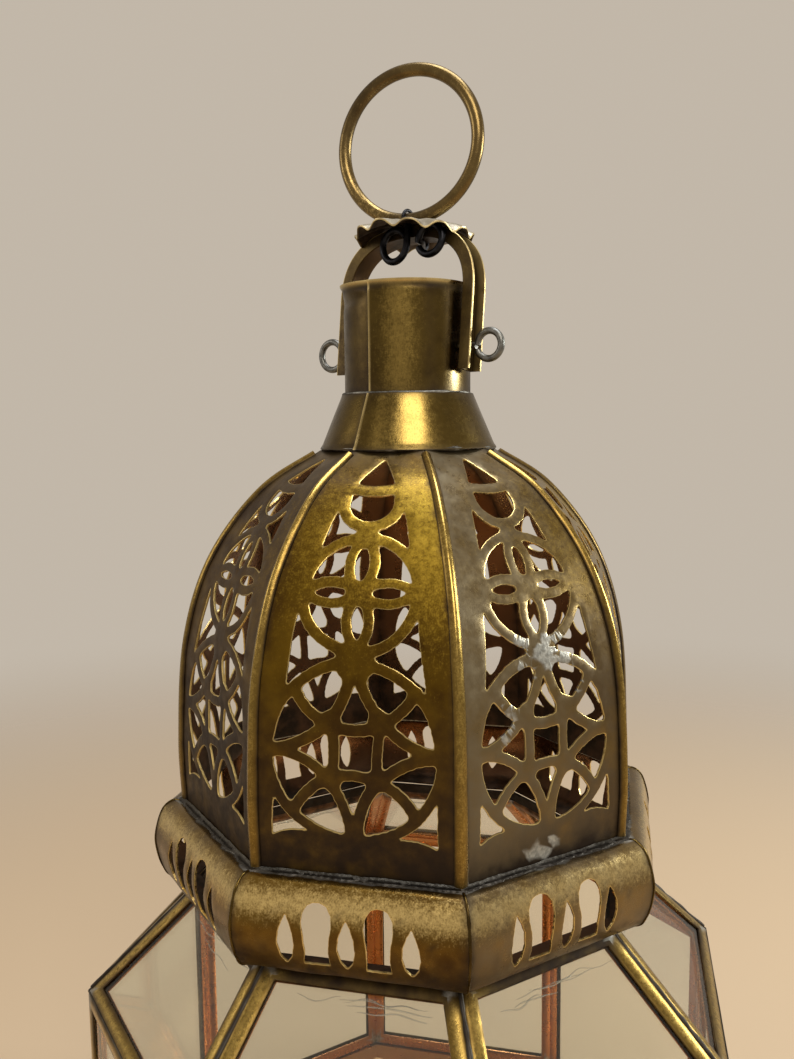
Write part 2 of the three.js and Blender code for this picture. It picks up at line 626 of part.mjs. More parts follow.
function makeDome() {
  const half = DOME_RADIUS;
  const rings = [];
  for (let i = 0; i <= DOME_STEPS; i += 1) {
    const up = domeLength * i / DOME_STEPS;
    rings.push([
      onDome(-half, up, 0),
      onDome(half, up, 0),
      onDome(half, up, -SHEET),
      onDome(-half, up, -SHEET),
    ]);
  }
  const deep = 2 * SHEET;
  const window = solid(loft(FRET_OUTLINE.map(([x, up]) => [
    onFret(-x, up, deep), onFret(x, up, deep), onFret(x, up, -deep), onFret(-x, up, -deep)])));
  const panel = solid(loft(rings)).intersect(wedge(SEAT_GAP)).subtract(window.subtract(fretBars()));
  addAround('dome_panel', geometryOf(panel), BRASS);
}

// Half-round bead over the joint of two panels
function makeBeads() {
  const across = [[-0.5, -0.55], [-0.36, 0.4], [0, 1], [0.36, 0.4], [0.5, -0.55], [0, 0]];
  const rings = [];
  for (let i = 0; i <= DOME_STEPS; i += 1) {
    const share = 0.004 + 0.99 * i / DOME_STEPS;
    const place = domeLine.getPointAt(share);
    const along = domeLine.getTangentAt(share);
    rings.push(across.map(([x, out]) => {
      const lift = SEAT_GAP / FLAT + 0.1 + out * BEAD_HEIGHT;
      return new THREE.Vector3(
        x * BEAD_WIDTH,
        -(place.x / FLAT + lift * along.y),
        place.y - lift * along.x,
      );
    }));
  }
  addAround('dome_bead', loft(rings), WORN_BRASS, [...Array(SIDES).keys()], -0.5);
}

// Cone on the dome, and the chimney tube that stands in its neck
function makeNeck() {
  const foot = DOME_TOP_Z + SEAT_GAP;
  const neck = CHIMNEY_RADIUS + SEAT_GAP;
  const wide = DOME_TOP_RADIUS - CONE_INSET;
  addPiece('neck_cone', revolve([
    [wide, foot], [wide + SHEET / 4, foot + SHEET], [neck + SHEET, CONE_TOP_Z],
    [neck, CONE_TOP_Z], [wide - SHEET, foot],
  ], ROUND_STEPS), WORN_BRASS);
  const inside = CHIMNEY_RADIUS - SHEET;
  const tube = revolve([
    [inside, CONE_TOP_Z - 3], [CHIMNEY_RADIUS, CONE_TOP_Z - 3], [CHIMNEY_RADIUS, CHIMNEY_TOP_Z - SHEET],
    [CHIMNEY_RADIUS - SHEET / 3, CHIMNEY_TOP_Z], [inside, CHIMNEY_TOP_Z],
  ], ROUND_STEPS);
  const reach = CHIMNEY_RADIUS + SHEET;
  const hole = rod(
    EYE_WIRE / 2 + SEAT_GAP,
    new THREE.Vector3(-reach, 0, PIVOT_Z),
    new THREE.Vector3(reach, 0, PIVOT_Z),
  ).rotateZ(BAIL_ANGLE);
  addPiece('chimney_tube', geometryOf(solid(tube).subtract(solid(hole))), BRASS);
}

// Two wire eyes that the bail swings on: a shank through the chimney wall, clenched inside
function makeBailEyes(bail) {
  const wire = EYE_WIRE / 2;
  const inner = CHIMNEY_RADIUS - SHEET - SEAT_GAP;
  const bend = inner - wire;
  const clenchEnds = [-EYE_WIRE, EYE_WIRE].map((z) => new THREE.Vector3(bend, 0, z));
  const clench = solid(rod(wire, ...clenchEnds));
  for (const [name, { radius, centre }, turn] of [
    ['bail_eye_right', RIGHT_EYE, 0], ['bail_eye_left', LEFT_EYE, Math.PI],
  ]) {
    const eye = solid(new THREE.TorusGeometry(radius, wire, 6, 12)
      .rotateX(Math.PI / 2).translate(centre, 0, 0));
    const shankEnds = [bend, centre - radius].map((x) => new THREE.Vector3(x, 0, 0));
    const shank = solid(rod(wire, ...shankEnds));
    const mesh = addPiece(name, geometryOf(joined([eye, shank, clench])), GREY_IRON, bail);
    mesh.position.z = PIVOT_Z;
    mesh.rotation.z = turn;
  }
}

// Bail: a channel bent over the chimney, open outward, with a squared arch
function strapPoint(angle, out) {
  const halfSpan = STRAP_INSIDE + out;
  const rise = STRAP_APEX - STRAP_SHOULDER + out;
  const power = 2 / STRAP_SQUARENESS;
  const [c, s] = [Math.cos(angle), Math.sin(angle)];
  return new THREE.Vector2(
    Math.sign(c) * halfSpan * Math.abs(c) ** power,
    STRAP_SHOULDER + rise * Math.abs(s) ** power,
  );
}

function makeStrap(bail) {
  const arch = [0, 0.1, 0.22, 0.34, 0.44, 0.5, 0.56, 0.66, 0.78, 0.9, 1].map((share) => share * Math.PI);
  const half = STRAP_WIDTH / 2;
  const section = [[-half, 0], [half, 0], [half, STRAP_DEPTH], [half - STRAP_WALL, STRAP_DEPTH],
    [half - STRAP_WALL, STRAP_WALL], [STRAP_WALL - half, STRAP_WALL], [STRAP_WALL - half, STRAP_DEPTH],
    [-half, STRAP_DEPTH]];
  const foot = (side) => section.map(([y, out]) => (
    new THREE.Vector3(side * (STRAP_INSIDE + out), y, -STRAP_FOOT)
  ));
  const rings = [foot(1), ...arch.map((angle) => section.map(([y, out]) => {
    const p = strapPoint(angle, out);
    return new THREE.Vector3(p.x, y, p.y);
  })), foot(-1)];
  const reach = STRAP_INSIDE + STRAP_DEPTH;
  const holeEnds = [-reach, reach].map((x) => new THREE.Vector3(x, 0, 0));
  const hole = rod(EYE_WIRE / 2 + RUNNING_GAP, ...holeEnds);
  addPiece('bail_strap', geometryOf(solid(loft(rings)).subtract(solid(hole))), BRASS, bail);
}

// Crown washer: a thin disc with a flat middle and a drooping, fluted rim
function washerTop(radius, angle) {
  const share = Math.max(0, (radius - WASHER_FLAT) / (WASHER_RADIUS - WASHER_FLAT));
  const flute = FLUTE_DEPTH * share * Math.cos(WASHER_FLUTES * angle);
  return 0.5 * Math.sin(Math.PI * Math.min(1, 2 * share)) - WASHER_DROOP * share ** 2 + flute;
}

const tieFront = STRAP_WIDTH / 2 + RUNNING_GAP + TIE_WIRE / 2;

function makeWasher(bail) {
  const steps = 3 * WASHER_FLUTES;
  const droop = (WASHER_RADIUS - WASHER_FLAT) / 3;
  const radii = [WASHER_FLAT, WASHER_FLAT + droop, WASHER_RADIUS - droop, WASHER_RADIUS];
  const points = [new THREE.Vector3(0, 0, 0), new THREE.Vector3(0, 0, -WASHER_SHEET)];
  for (const radius of radii) {
    for (let i = 0; i < steps; i += 1) {
      const angle = (2 * Math.PI * i) / steps;
      const z = washerTop(radius, angle);
      for (const drop of [0, WASHER_SHEET]) {
        points.push(new THREE.Vector3(radius * Math.cos(angle), radius * Math.sin(angle), z - drop));
      }
    }
  }
  const at = (ring, i, side) => 2 + 2 * (ring * steps + (i % steps)) + side;
  const triangles = [];
  const last = radii.length - 1;
  for (let i = 0; i < steps; i += 1) {
    triangles.push([0, at(0, i, 0), at(0, i + 1, 0)], [1, at(0, i + 1, 1), at(0, i, 1)]);
    for (let ring = 0; ring < last; ring += 1) {
      const [a, b, c, d] = [at(ring, i, 0), at(ring + 1, i, 0), at(ring + 1, i + 1, 0), at(ring, i + 1, 0)];
      triangles.push([a, b, c], [a, c, d], [a + 1, c + 1, b + 1], [a + 1, d + 1, c + 1]);
    }
    const [a, b] = [at(last, i, 0), at(last, i + 1, 0)];
    triangles.push([a, a + 1, b + 1], [a, b + 1, b]);
  }
  let washer = solid(bodyFrom(points, triangles));
  for (const side of [-1, 1]) {
    const place = (z) => new THREE.Vector3(TIE_SHIFT - TIE_LEG_OFFSET, side * tieFront, z);
    washer = washer.subtract(solid(rod(TIE_WIRE / 2 + SEAT_GAP, place(-3), place(3), 8)));
  }
  addPiece('crown_washer', geometryOf(washer), TARNISHED, bail).position.z = WASHER_TOP_Z - PIVOT_Z;
}

// A round wire along points, each with its own wire radius
function wireAlong(points, radii, sides) {
  const rings = [];
  let side = null;
  points.forEach((point, i) => {
    const before = points[Math.max(i - 1, 0)];
    const after = points[Math.min(i + 1, points.length - 1)];
    const along = new THREE.Vector3().subVectors(after, before).normalize();
    const start = side ?? new THREE.Vector3(1, 0.3, 0.2);
    side = start.clone().addScaledVector(along, -start.dot(along)).normalize();
    const up = new THREE.Vector3().crossVectors(along, side);
    rings.push([...Array(sides).keys()].map((j) => {
      const angle = (2 * Math.PI * j) / sides;
      return point.clone()
        .addScaledVector(side, radii[i] * Math.cos(angle))
        .addScaledVector(up, radii[i] * Math.sin(angle));
    }));
  });
  return loft(rings);
}

// Iron tie wire: over the ring, round the strap, with both ends curled into eyes in front
function makeTie(bail) {
  const wire = TIE_WIRE / 2;
  const thin = TIE_HOOP_WIRE / 2;
  const eyeZ = PIVOT_Z + STRAP_APEX + STRAP_DEPTH - TIE_EYE_DROP;
  const eyeX = TIE_LEG_OFFSET + TIE_EYE_RADIUS;
  const [leftLeg, rightLeg] = [TIE_SHIFT - TIE_LEG_OFFSET, TIE_SHIFT + TIE_LEG_OFFSET];
  const under = PIVOT_Z + STRAP_APEX - 2 * RUNNING_GAP - wire;
  const hoop = RING_WIRE / 2 + RUNNING_GAP + thin;
  const hoopY = (TIE_HOOP_X - RING_SHIFT) * Math.tan(RING_YAW);
  const points = [];
  const radii = [];
  const add = (x, y, z, radius = wire) => {
    points.push(new THREE.Vector3(x, y, z));
    radii.push(radius);
  };
  const eyeSteps = 11;
  for (let i = eyeSteps; i > 0; i -= 1) {
    const angle = 2 * Math.PI * TIE_EYE_OPEN * i / eyeSteps;
    add(TIE_SHIFT - eyeX + TIE_EYE_RADIUS * Math.cos(angle), -tieFront, eyeZ - TIE_EYE_RADIUS * Math.sin(angle));
  }
  add(leftLeg, -tieFront, eyeZ);
  add(leftLeg, -tieFront, WASHER_TOP_Z - 1);
  add(leftLeg, -tieFront, WASHER_TOP_Z + 0.4, (wire + thin) / 2);
  for (let i = 0; i <= 6; i += 1) {
    const angle = Math.PI * (1 - i / 6);
    add(TIE_HOOP_X, hoopY + hoop * Math.cos(angle), RING_AXIS_Z + hoop * Math.sin(angle), thin);
  }
  add(leftLeg, tieFront, WASHER_TOP_Z + 0.4, (wire + thin) / 2);
  add(leftLeg, tieFront, WASHER_TOP_Z - 1);
  add(leftLeg, tieFront, under + TIE_BEND);
  add(leftLeg, tieFront - TIE_BEND, under);
  add(rightLeg, TIE_BEND - tieFront, under);
  add(rightLeg, -tieFront, Math.min(under, eyeZ) + 0.2);
  for (let i = 1; i <= eyeSteps; i += 1) {
    const angle = 2 * Math.PI * TIE_EYE_OPEN * i / eyeSteps;
    add(TIE_SHIFT + eyeX - TIE_EYE_RADIUS * Math.cos(angle), -tieFront, eyeZ + TIE_EYE_RADIUS * Math.sin(angle));
  }
  addPiece('ring_tie_wire', wireAlong(points, radii, 6), BLACK_IRON, bail).position.z = -PIVOT_Z;
}

// Hanging ring: a round wire ring that stands upright on the crown washer
function makeRing(bail) {
  const ring = new THREE.TorusGeometry(RING_RADIUS, RING_WIRE / 2, 8, 32).rotateX(Math.PI / 2);
  const mesh = addPiece('hanging_ring', ring, WORN_BRASS, bail);
  const reach = RING_AXIS_Z - PIVOT_Z;
  const ringZ = PIVOT_Z + reach * Math.cos(BAIL_LEAN) + RING_RADIUS;
  mesh.position.set(RING_SHIFT, reach * Math.sin(BAIL_LEAN), ringZ);
  mesh.rotation.z = RING_YAW;
}

makePan();
makeCup();
makeLowerGlazing();
makeDoor();
makeUpperGlazing();
makeCollar();
makeDome();
makeBeads();
makeNeck();

const bailGroup = new THREE.Group();
bailGroup.rotation.z = BAIL_ANGLE;
lantern.add(bailGroup);
const leaningGroup = new THREE.Group();
leaningGroup.position.z = PIVOT_Z;
leaningGroup.rotation.x = -BAIL_LEAN;
bailGroup.add(leaningGroup);
makeBailEyes(bailGroup);
makeStrap(leaningGroup);
makeWasher(leaningGroup);
makeTie(leaningGroup);
makeRing(bailGroup);

export default lantern;
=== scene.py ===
"""A pierced brass lantern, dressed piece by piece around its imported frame.

Metres, +Z up. Face 0 is the door's face and looks along -Y, and the others follow it anticlockwise.
"""

from __future__ import annotations

import json
import logging
import math
from dataclasses import dataclass, field
from enum import Enum
from typing import Callable, Sequence

import bpy
import numpy as np
from mathutils import Matrix, Vector
from mathutils.geometry import delaunay_2d_cdt

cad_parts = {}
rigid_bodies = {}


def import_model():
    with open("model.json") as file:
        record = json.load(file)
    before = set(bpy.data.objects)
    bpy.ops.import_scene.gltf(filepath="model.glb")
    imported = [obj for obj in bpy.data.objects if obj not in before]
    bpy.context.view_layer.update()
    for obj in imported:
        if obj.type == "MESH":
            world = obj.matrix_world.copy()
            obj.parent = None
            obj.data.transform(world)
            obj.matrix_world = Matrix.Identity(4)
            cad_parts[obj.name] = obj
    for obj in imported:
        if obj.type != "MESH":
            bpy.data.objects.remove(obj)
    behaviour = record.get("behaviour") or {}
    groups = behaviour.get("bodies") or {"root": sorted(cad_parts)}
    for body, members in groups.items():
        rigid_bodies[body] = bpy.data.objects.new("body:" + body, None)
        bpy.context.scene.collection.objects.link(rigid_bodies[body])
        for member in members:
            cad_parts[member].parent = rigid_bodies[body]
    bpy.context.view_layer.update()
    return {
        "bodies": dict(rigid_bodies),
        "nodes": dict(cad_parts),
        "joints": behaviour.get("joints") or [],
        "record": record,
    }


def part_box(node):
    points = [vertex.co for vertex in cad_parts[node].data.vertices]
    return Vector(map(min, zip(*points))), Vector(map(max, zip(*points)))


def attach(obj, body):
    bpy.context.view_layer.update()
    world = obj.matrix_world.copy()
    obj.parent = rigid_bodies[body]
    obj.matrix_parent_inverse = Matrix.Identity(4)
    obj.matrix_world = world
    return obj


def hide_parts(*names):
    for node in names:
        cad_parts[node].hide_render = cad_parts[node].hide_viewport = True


LOG = logging.getLogger("lantern")

MM = 0.001
SIDES = 8
HALF = math.pi / SIDES
FLAT = math.cos(HALF)
SLANT = math.tan(HALF)
SEAT_GAP = 0.3 * MM
DOME_RADIUS = 85 * MM
SIDE_GAP = 0.2  # between two sheets, in a drawing's millimetres

Colour = tuple[float, float, float]
Array = np.ndarray


class Body(Enum):
    """The bodies of the lantern that pieces ride on."""

    LANTERN = "lantern"
    DOOR = "door"
    LATCH = "latch"
    BAIL = "bail"
    RING = "ring"


class Slot(Enum):
    """The record's material slots."""

    ANTIQUE = "antique_brass"
    WORN = "worn_brass"
    TARNISHED = "tarnished_brass"
    BLACK = "black_iron"
    GREY = "grey_iron"
    GLASS = "clear_glass"


# Materials


class Wire:
    """A socket of a node tree, with arithmetic that adds Math nodes."""

    def __init__(self, graph: "Graph", socket: bpy.types.NodeSocket) -> None:
        """Keeps the graph that the socket belongs to."""
        self.graph = graph
        self.socket = socket

    def _math(self, operation: str, *values: "Wire | float") -> "Wire":
        """Adds one Math node.

        Args:
            operation: The node's operation.
            values: What goes into its sockets, in order.

        Returns:
            The node's result.
        """
        inputs = dict(enumerate(values))
        return self.graph.node("ShaderNodeMath", {"operation": operation}, inputs)

    def __add__(self, other: "Wire | float") -> "Wire":
        """Sum."""
        return self._math("ADD", self, other)

    def __radd__(self, other: float) -> "Wire":
        """Sum with a number on the left."""
        return self._math("ADD", other, self)

    def __sub__(self, other: "Wire | float") -> "Wire":
        """Difference."""
        return self._math("SUBTRACT", self, other)

    def __rsub__(self, other: float) -> "Wire":
        """Difference from a number on the left."""
        return self._math("SUBTRACT", other, self)

    def __mul__(self, other: "Wire | float") -> "Wire":
        """Product."""
        return self._math("MULTIPLY", self, other)

    def __rmul__(self, other: float) -> "Wire":
        """Product with a number on the left."""
        return self._math("MULTIPLY", other, self)

    def __pow__(self, other: float) -> "Wire":
        """Power."""
        return self._math("POWER", self, other)

    def clamped(self) -> "Wire":
        """The value held between 0 and 1."""
        return self._math("MINIMUM", self._math("MAXIMUM", self, 0.0), 1.0)

    def ramp(self, low: float, high: float) -> "Wire":
        """The value as a smooth step from 0 at low to 1 at high.

        Args:
            low: Where it starts.
            high: Where it ends.

        Returns:
            The step.
        """
        settings = {"interpolation_type": "SMOOTHSTEP"}
        inputs = {"Value": self, "From Min": low, "From Max": high}
        return self.graph.node("ShaderNodeMapRange", settings, inputs)


class Graph:
    """The node tree of one material, or of the world."""

    def __init__(self, name: str, world: bool = False) -> None:
        """Makes an empty tree with its output.

        Args:
            name: The tree's name.
            world: Whether it is the world's.
        """
        self.material = (bpy.data.worlds if world else bpy.data.materials).new(name)
        self.material.use_nodes = True
        self.tree = self.material.node_tree
        self.tree.nodes.clear()
        self.output = self.tree.nodes.new("ShaderNodeOutputWorld" if world else "ShaderNodeOutputMaterial")

    def node(self, kind: str, settings: dict, inputs: dict, result: int | str = 0) -> Wire:
        """Adds one node.

        Args:
            kind: The node's type.
            settings: Its own settings, set before the sockets.
            inputs: Socket name or number to a value or a Wire.
            result: The output that is wanted.

        Returns:
            That output.
        """
        made = self.tree.nodes.new(kind)
        for key, value in settings.items():
            setattr(made, key, value)
        for key, value in inputs.items():
            if isinstance(value, Wire):
                self.tree.links.new(value.socket, made.inputs[key])
            else:
                made.inputs[key].default_value = value
        return Wire(self, made.outputs[result])

    def place(self) -> Wire:
        """The point on the piece, in metres."""
        return self.node("ShaderNodeTexCoord", {}, {}, "Object")

    def stretched(self, scale: Sequence[float]) -> Wire:
        """The point on the piece, scaled along each axis."""
        inputs = {"Vector": self.place(), "Scale": scale}
        return self.node("ShaderNodeMapping", {"vector_type": "POINT"}, inputs)

    def noise(self, scale: float, detail: float = 3.0, vector: Wire | None = None) -> Wire:
        """Noise from 0 to 1, of that many features to the metre."""
        inputs = {"Vector": vector or self.place(), "Scale": scale, "Detail": detail}
        return self.node("ShaderNodeTexNoise", {"noise_dimensions": "3D"}, inputs)

    def mask(self, name: str) -> Wire:
        """A mask that the mesh carries."""
        return self.node("ShaderNodeAttribute", {"attribute_name": name}, {}, "Fac")

    def blend(self, share: Wire | float, first: Wire | Colour, second: Wire | Colour) -> Wire:
        """Mixes two colours.

        Args:
            share: How much of the second colour.
            first: A colour.
            second: A colour.

        Returns:
            The mixed colour.
        """
        sides = [c if isinstance(c, Wire) else (*c, 1.0) for c in (first, second)]
        inputs = {0: share, 6: sides[0], 7: sides[1]}
        return self.node("ShaderNodeMix", {"data_type": "RGBA"}, inputs, 2)

    def bump(self, height: Wire, strength: float, distance: float) -> Wire:
        """A normal from a height."""
        inputs = {"Height": height, "Strength": strength, "Distance": distance}
        return self.node("ShaderNodeBump", {}, inputs)

    def shine(self, **sockets: "Wire | float | tuple") -> Wire:
        """The main shader, its sockets named with underscores for spaces."""
        inputs = {key.replace("_", " "): value for key, value in sockets.items()}
        return self.node("ShaderNodeBsdfPrincipled", {}, inputs)

    def finish(self, shader: Wire) -> bpy.types.Material | bpy.types.World:
        """Ends the tree with a shader."""
        self.tree.links.new(shader.socket, self.output.inputs["Surface"])
        return self.material


@dataclass(frozen=True)
class BrassFinish:
    """Old sheet brass: brown patina, olive to gold metal, burnished edges and grey solder.

    The meshes carry six masks: edge; grime, which is dirt and painted shade; solder; glow, which is worn,
    polished metal and painted highlights; haze, which is a grey-brown film and painted grey reflections; and
    inside, the faces turned into the lantern, which carry a coppery back tint and painted warm reflection.
    """

    name: str
    slot: Slot
    dark: Colour
    body: Colour
    bright: Colour
    roughness: float = 0.34
    patina: float = 0.5
    solder: Colour = (0.46, 0.45, 0.41)
    rim: Colour = (0.86, 0.66, 0.26)
    # A grey-brown film, also painted as grey reflection.
    haze: Colour = (0.27, 0.225, 0.145)
    # Near black: dirt and painted shade.
    grime: Colour = (0.024, 0.013, 0.006)
    # Coppery brown for faces turned into the lantern: back tint and painted warm reflection.
    inside: Colour = (0.21, 0.100, 0.046)

    def material(self) -> bpy.types.Material:
        """Builds the material.

        Returns:
            The material.
        """
        g = Graph(self.name)
        patches = g.noise(30.0, 4.0)
        mottle = g.noise(170.0, 5.0)
        speckle = g.noise(620.0, 3.0)
        grain = g.noise(1900.0, 2.0)
        brushed = g.noise(1.0, 2.0, g.stretched((2600.0, 2600.0, 420.0)))
        edge, grime, glow = g.mask("edge"), g.mask("grime"), g.mask("glow")
        broken = (mottle * 1.5 + patches * 0.7 - 0.7).clamped()
        solder = (g.mask("solder") * (0.45 + mottle * 1.1)).ramp(0.36, 0.6)
        # Worn metal and painted highlights thin the patina here and brighten the metal below.
        aged = (patches * 1.0 + mottle * 0.6 - 0.8 + self.patina * 0.5 - glow * 0.42).ramp(0.0, 0.6)
        colour = g.blend(aged, self.body, self.dark)
        worn = glow * 0.72 + (grain - 0.5) * 0.8 + (speckle - 0.5) * 0.6 + (brushed - 0.5) * 0.5
        colour = g.blend(worn.ramp(0.12, 0.95), colour, self.bright)
        # Grey-brown film and painted grey reflection.
        film = (g.mask("haze") * (0.5 + broken * 0.6)).clamped()
        colour = g.blend(film, colour, self.haze)
        # Painted warm reflection on the faces turned into the lantern.
        colour = g.blend(g.mask("inside"), colour, self.inside)
        # Dirt and painted shade.
        colour = g.blend((grime * (0.55 + broken * 0.8)).clamped(), colour, self.grime)
        colour = g.blend((edge * (0.35 + mottle * 1.0)).clamped(), colour, self.rim)
        shade = g.blend(speckle.ramp(0.3, 0.7), self.solder, tuple(c * 0.5 for c in self.solder))
        colour = g.blend(solder, colour, shade)
        rough = self.roughness + (mottle - 0.5) * 0.28 + (speckle - 0.5) * 0.2
        rough = rough + grime * 0.2 + solder * 0.08 - edge * 0.08 - glow * 0.04
        height = grain * 0.4 + brushed * 0.3 + speckle * 0.5 + mottle * 0.9 + solder * speckle * 3.0
        normal = g.bump(height, 0.34, 0.12 * MM)
        metal = (1.0 - grime * 0.35).clamped()
        return g.finish(g.shine(
            Base_Color=colour, Roughness=rough.clamped(), Metallic=metal, Normal=normal,
        ))


@dataclass(frozen=True)
class IronFinish:
    """Drawn iron wire, blackened or grey, rubbed brighter where it is handled."""

    name: str
    slot: Slot
    body: Colour
    rubbed: Colour
    roughness: float = 0.36

    def material(self) -> bpy.types.Material:
        """Builds the material.

        Returns:
            The material.
        """
        g = Graph(self.name)
        mottle = g.noise(420.0, 4.0)
        grain = g.noise(3200.0, 2.0)
        worn = (mottle * 1.5 - 0.5 + g.mask("glow") * 0.5).clamped()
        colour = g.blend(worn, self.body, self.rubbed)
        rough = (self.roughness + (mottle - 0.5) * 0.3).clamped()
        normal = g.bump(grain + mottle, 0.3, 0.1 * MM)
        return g.finish(g.shine(Base_Color=colour, Roughness=rough, Metallic=0.92, Normal=normal))


@dataclass(frozen=True)
class GlassFinish:
    """Thin clear sheet glass that reflects at a slant, with a faint film of dust and wiping marks."""

    name: str
    slot: Slot = Slot.GLASS
    tint: Colour = (0.955, 0.965, 0.95)
    film: float = 0.035

    def material(self) -> bpy.types.Material:
        """Builds the material.

        Returns:
            The material.
        """
        g = Graph(self.name)
        smears = g.noise(55.0, 5.0, g.stretched((1.0, 1.0, 0.35)))
        streak = g.noise(1.0, 3.0, g.stretched((900.0, 900.0, 60.0)))
        glue = g.mask("glue")
        facing = g.node("ShaderNodeLayerWeight", {}, {"Blend": 0.5}, "Facing")
        through = g.node("ShaderNodeBsdfTransparent", {}, {"Color": (*self.tint, 1.0)})
        rough = (0.02 + smears.ramp(0.45, 0.8) * 0.1 + glue * 0.1).clamped()
        normal = g.bump(smears * 0.4 + streak * 0.1, 0.05, 0.2 * MM)
        mirror = g.shine(Base_Color=(0.95, 0.96, 0.95, 1.0), Roughness=rough, Metallic=1.0, Normal=normal)
        share = (0.045 + facing ** 5 * 0.9 + smears.ramp(0.5, 0.85) * self.film + glue * 0.3).clamped()
        return g.finish(g.node("ShaderNodeMixShader", {}, {0: share, 1: through, 2: mirror}))


Finish = BrassFinish | IronFinish | GlassFinish


class Finishes:
    """Every finish of the lantern, each built once."""

    def __init__(self) -> None:
        """Builds the materials."""
        # The inside colours of sheet and worn are painted warm light on the faces inside the lantern.
        self.sheet = BrassFinish(
            "antique_sheet", Slot.ANTIQUE, dark=(0.075, 0.042, 0.013), body=(0.205, 0.128, 0.032),
            bright=(0.56, 0.40, 0.13), patina=0.6, inside=(0.60, 0.38, 0.20))
        self.band = BrassFinish(
            "rolled_sheet", Slot.ANTIQUE, dark=(0.070, 0.036, 0.010), body=(0.22, 0.130, 0.026),
            bright=(0.92, 0.69, 0.28), roughness=0.27, patina=0.66)
        self.tube = BrassFinish(
            "smoked_sheet", Slot.ANTIQUE, dark=(0.045, 0.028, 0.010), body=(0.135, 0.090, 0.023),
            bright=(0.34, 0.235, 0.065), roughness=0.27, patina=0.66, rim=(0.80, 0.62, 0.28))
        self.fret = BrassFinish(
            "fretted_sheet", Slot.ANTIQUE, dark=(0.068, 0.033, 0.007), body=(0.205, 0.118, 0.012),
            bright=(0.52, 0.345, 0.042), roughness=0.32, patina=0.8)
        self.worn = BrassFinish(
            "worn_brass", Slot.WORN, dark=(0.085, 0.050, 0.014), body=(0.24, 0.155, 0.038),
            bright=(0.56, 0.39, 0.11), roughness=0.28, patina=0.6, inside=(0.58, 0.27, 0.11))
        self.wire = BrassFinish(
            "ring_wire", Slot.WORN, dark=(0.080, 0.052, 0.022), body=(0.215, 0.150, 0.058),
            bright=(0.68, 0.49, 0.19), roughness=0.28, patina=0.66)
        self.tarnished = BrassFinish(
            "tarnished_disc", Slot.TARNISHED, dark=(0.26, 0.23, 0.17), body=(0.50, 0.46, 0.37),
            bright=(0.82, 0.78, 0.66), roughness=0.40, patina=0.15)
        self.lead = BrassFinish(
            "dark_solder", Slot.ANTIQUE, dark=(0.028, 0.024, 0.021), body=(0.075, 0.068, 0.058),
            bright=(0.24, 0.23, 0.20), roughness=0.42, patina=0.7)
        self.black = IronFinish("black_iron", Slot.BLACK, (0.012, 0.012, 0.015), (0.05, 0.052, 0.06))
        self.grey = IronFinish("grey_iron", Slot.GREY, (0.09, 0.09, 0.085), (0.30, 0.30, 0.28))
        self.glass = GlassFinish("clear_glass")
        self._made: dict[str, bpy.types.Material] = {}

    def get(self, finish: Finish) -> bpy.types.Material:
        """The material of a finish, made the first time it is asked for.

        Args:
            finish: The finish.

        Returns:
            Its material.
        """
        if finish.name not in self._made:
            self._made[finish.name] = finish.material()
        return self._made[finish.name]


# Meshes


@dataclass
class Shape:
    """Points, faces and masks of one mesh, before it becomes a piece."""

    points: Array
    faces: list[list[int]]
    masks: dict[str, Array] = field(default_factory=dict)

    def turned(self, angle: float) -> "Shape":
        """A copy turned about Z."""
        return self.moved(Matrix.Rotation(angle, 4, "Z"))

    def moved(self, matrix: Matrix) -> "Shape":
        """A copy moved by a matrix.

        Args:
            matrix: The move.

        Returns:
            The copy.
        """
        m = np.array(matrix)
        points = self.points @ m[:3, :3].T + m[:3, 3]
        return Shape(points, [list(f) for f in self.faces], dict(self.masks))

    def masked(self, **masks: Array | float) -> "Shape":
        """The same shape with more masks, each one number or one for each point.

        Args:
            **masks: The masks by name.

        Returns:
            The shape itself.
        """
        for name, values in masks.items():
            flat = np.asarray(values, float).ravel()
            self.masks[name] = np.broadcast_to(flat, (len(self.points),)).copy()
        return self


def held(values: Array | float) -> Array:
    """Values held between 0 and 1."""
    return np.clip(values, 0, 1)


def falling(distance: Array, width: float) -> Array:
    """1 at no distance, falling off over a width."""
    return np.exp(-np.clip(distance, 0, None) / width)


def hump(values: Array, centre: float, width: float) -> Array:
    """1 where values equal the centre, falling off to both sides."""
    return np.exp(-((values - centre) / width) ** 2)


def full_turn(steps: int) -> Array:
    """Angles once round a circle."""
    return np.linspace(0, 2 * math.pi, steps, endpoint=False)


def merged(shapes: Sequence[Shape]) -> Shape:
    """Puts several shapes into one.

    Args:
        shapes: The shapes.

    Returns:
        One shape with all their masks, 0 where a shape had none.
    """
    names = {name for shape in shapes for name in shape.masks}
    masks = {
        name: np.concatenate([s.masks.get(name, np.zeros(len(s.points))) for s in shapes])
        for name in names
    }
    faces: list[list[int]] = []
    offset = 0
    for shape in shapes:
        faces += [[i + offset for i in face] for face in shape.faces]
        offset += len(shape.points)
    return Shape(np.concatenate([s.points for s in shapes]), faces, masks)


def lofted(rings: Array, closed: bool = False) -> Shape:
    """A surface through rings of points.

    Args:
        rings: An array of rings, of points, of coordinates.
        closed: Whether the last ring meets the first, or else the ends are filled.

    Returns:
        The shape.
    """
    count, size = rings.shape[:2]
    faces = []
    for i in range(count if closed else count - 1):
        k = (i + 1) % count
        for j in range(size):
            n = (j + 1) % size
            faces.append([i * size + j, i * size + n, k * size + n, k * size + j])
    if not closed:
        faces.append(list(range(size))[::-1])
        faces.append([(count - 1) * size + j for j in range(size)])
    return Shape(rings.reshape(-1, 3), faces)


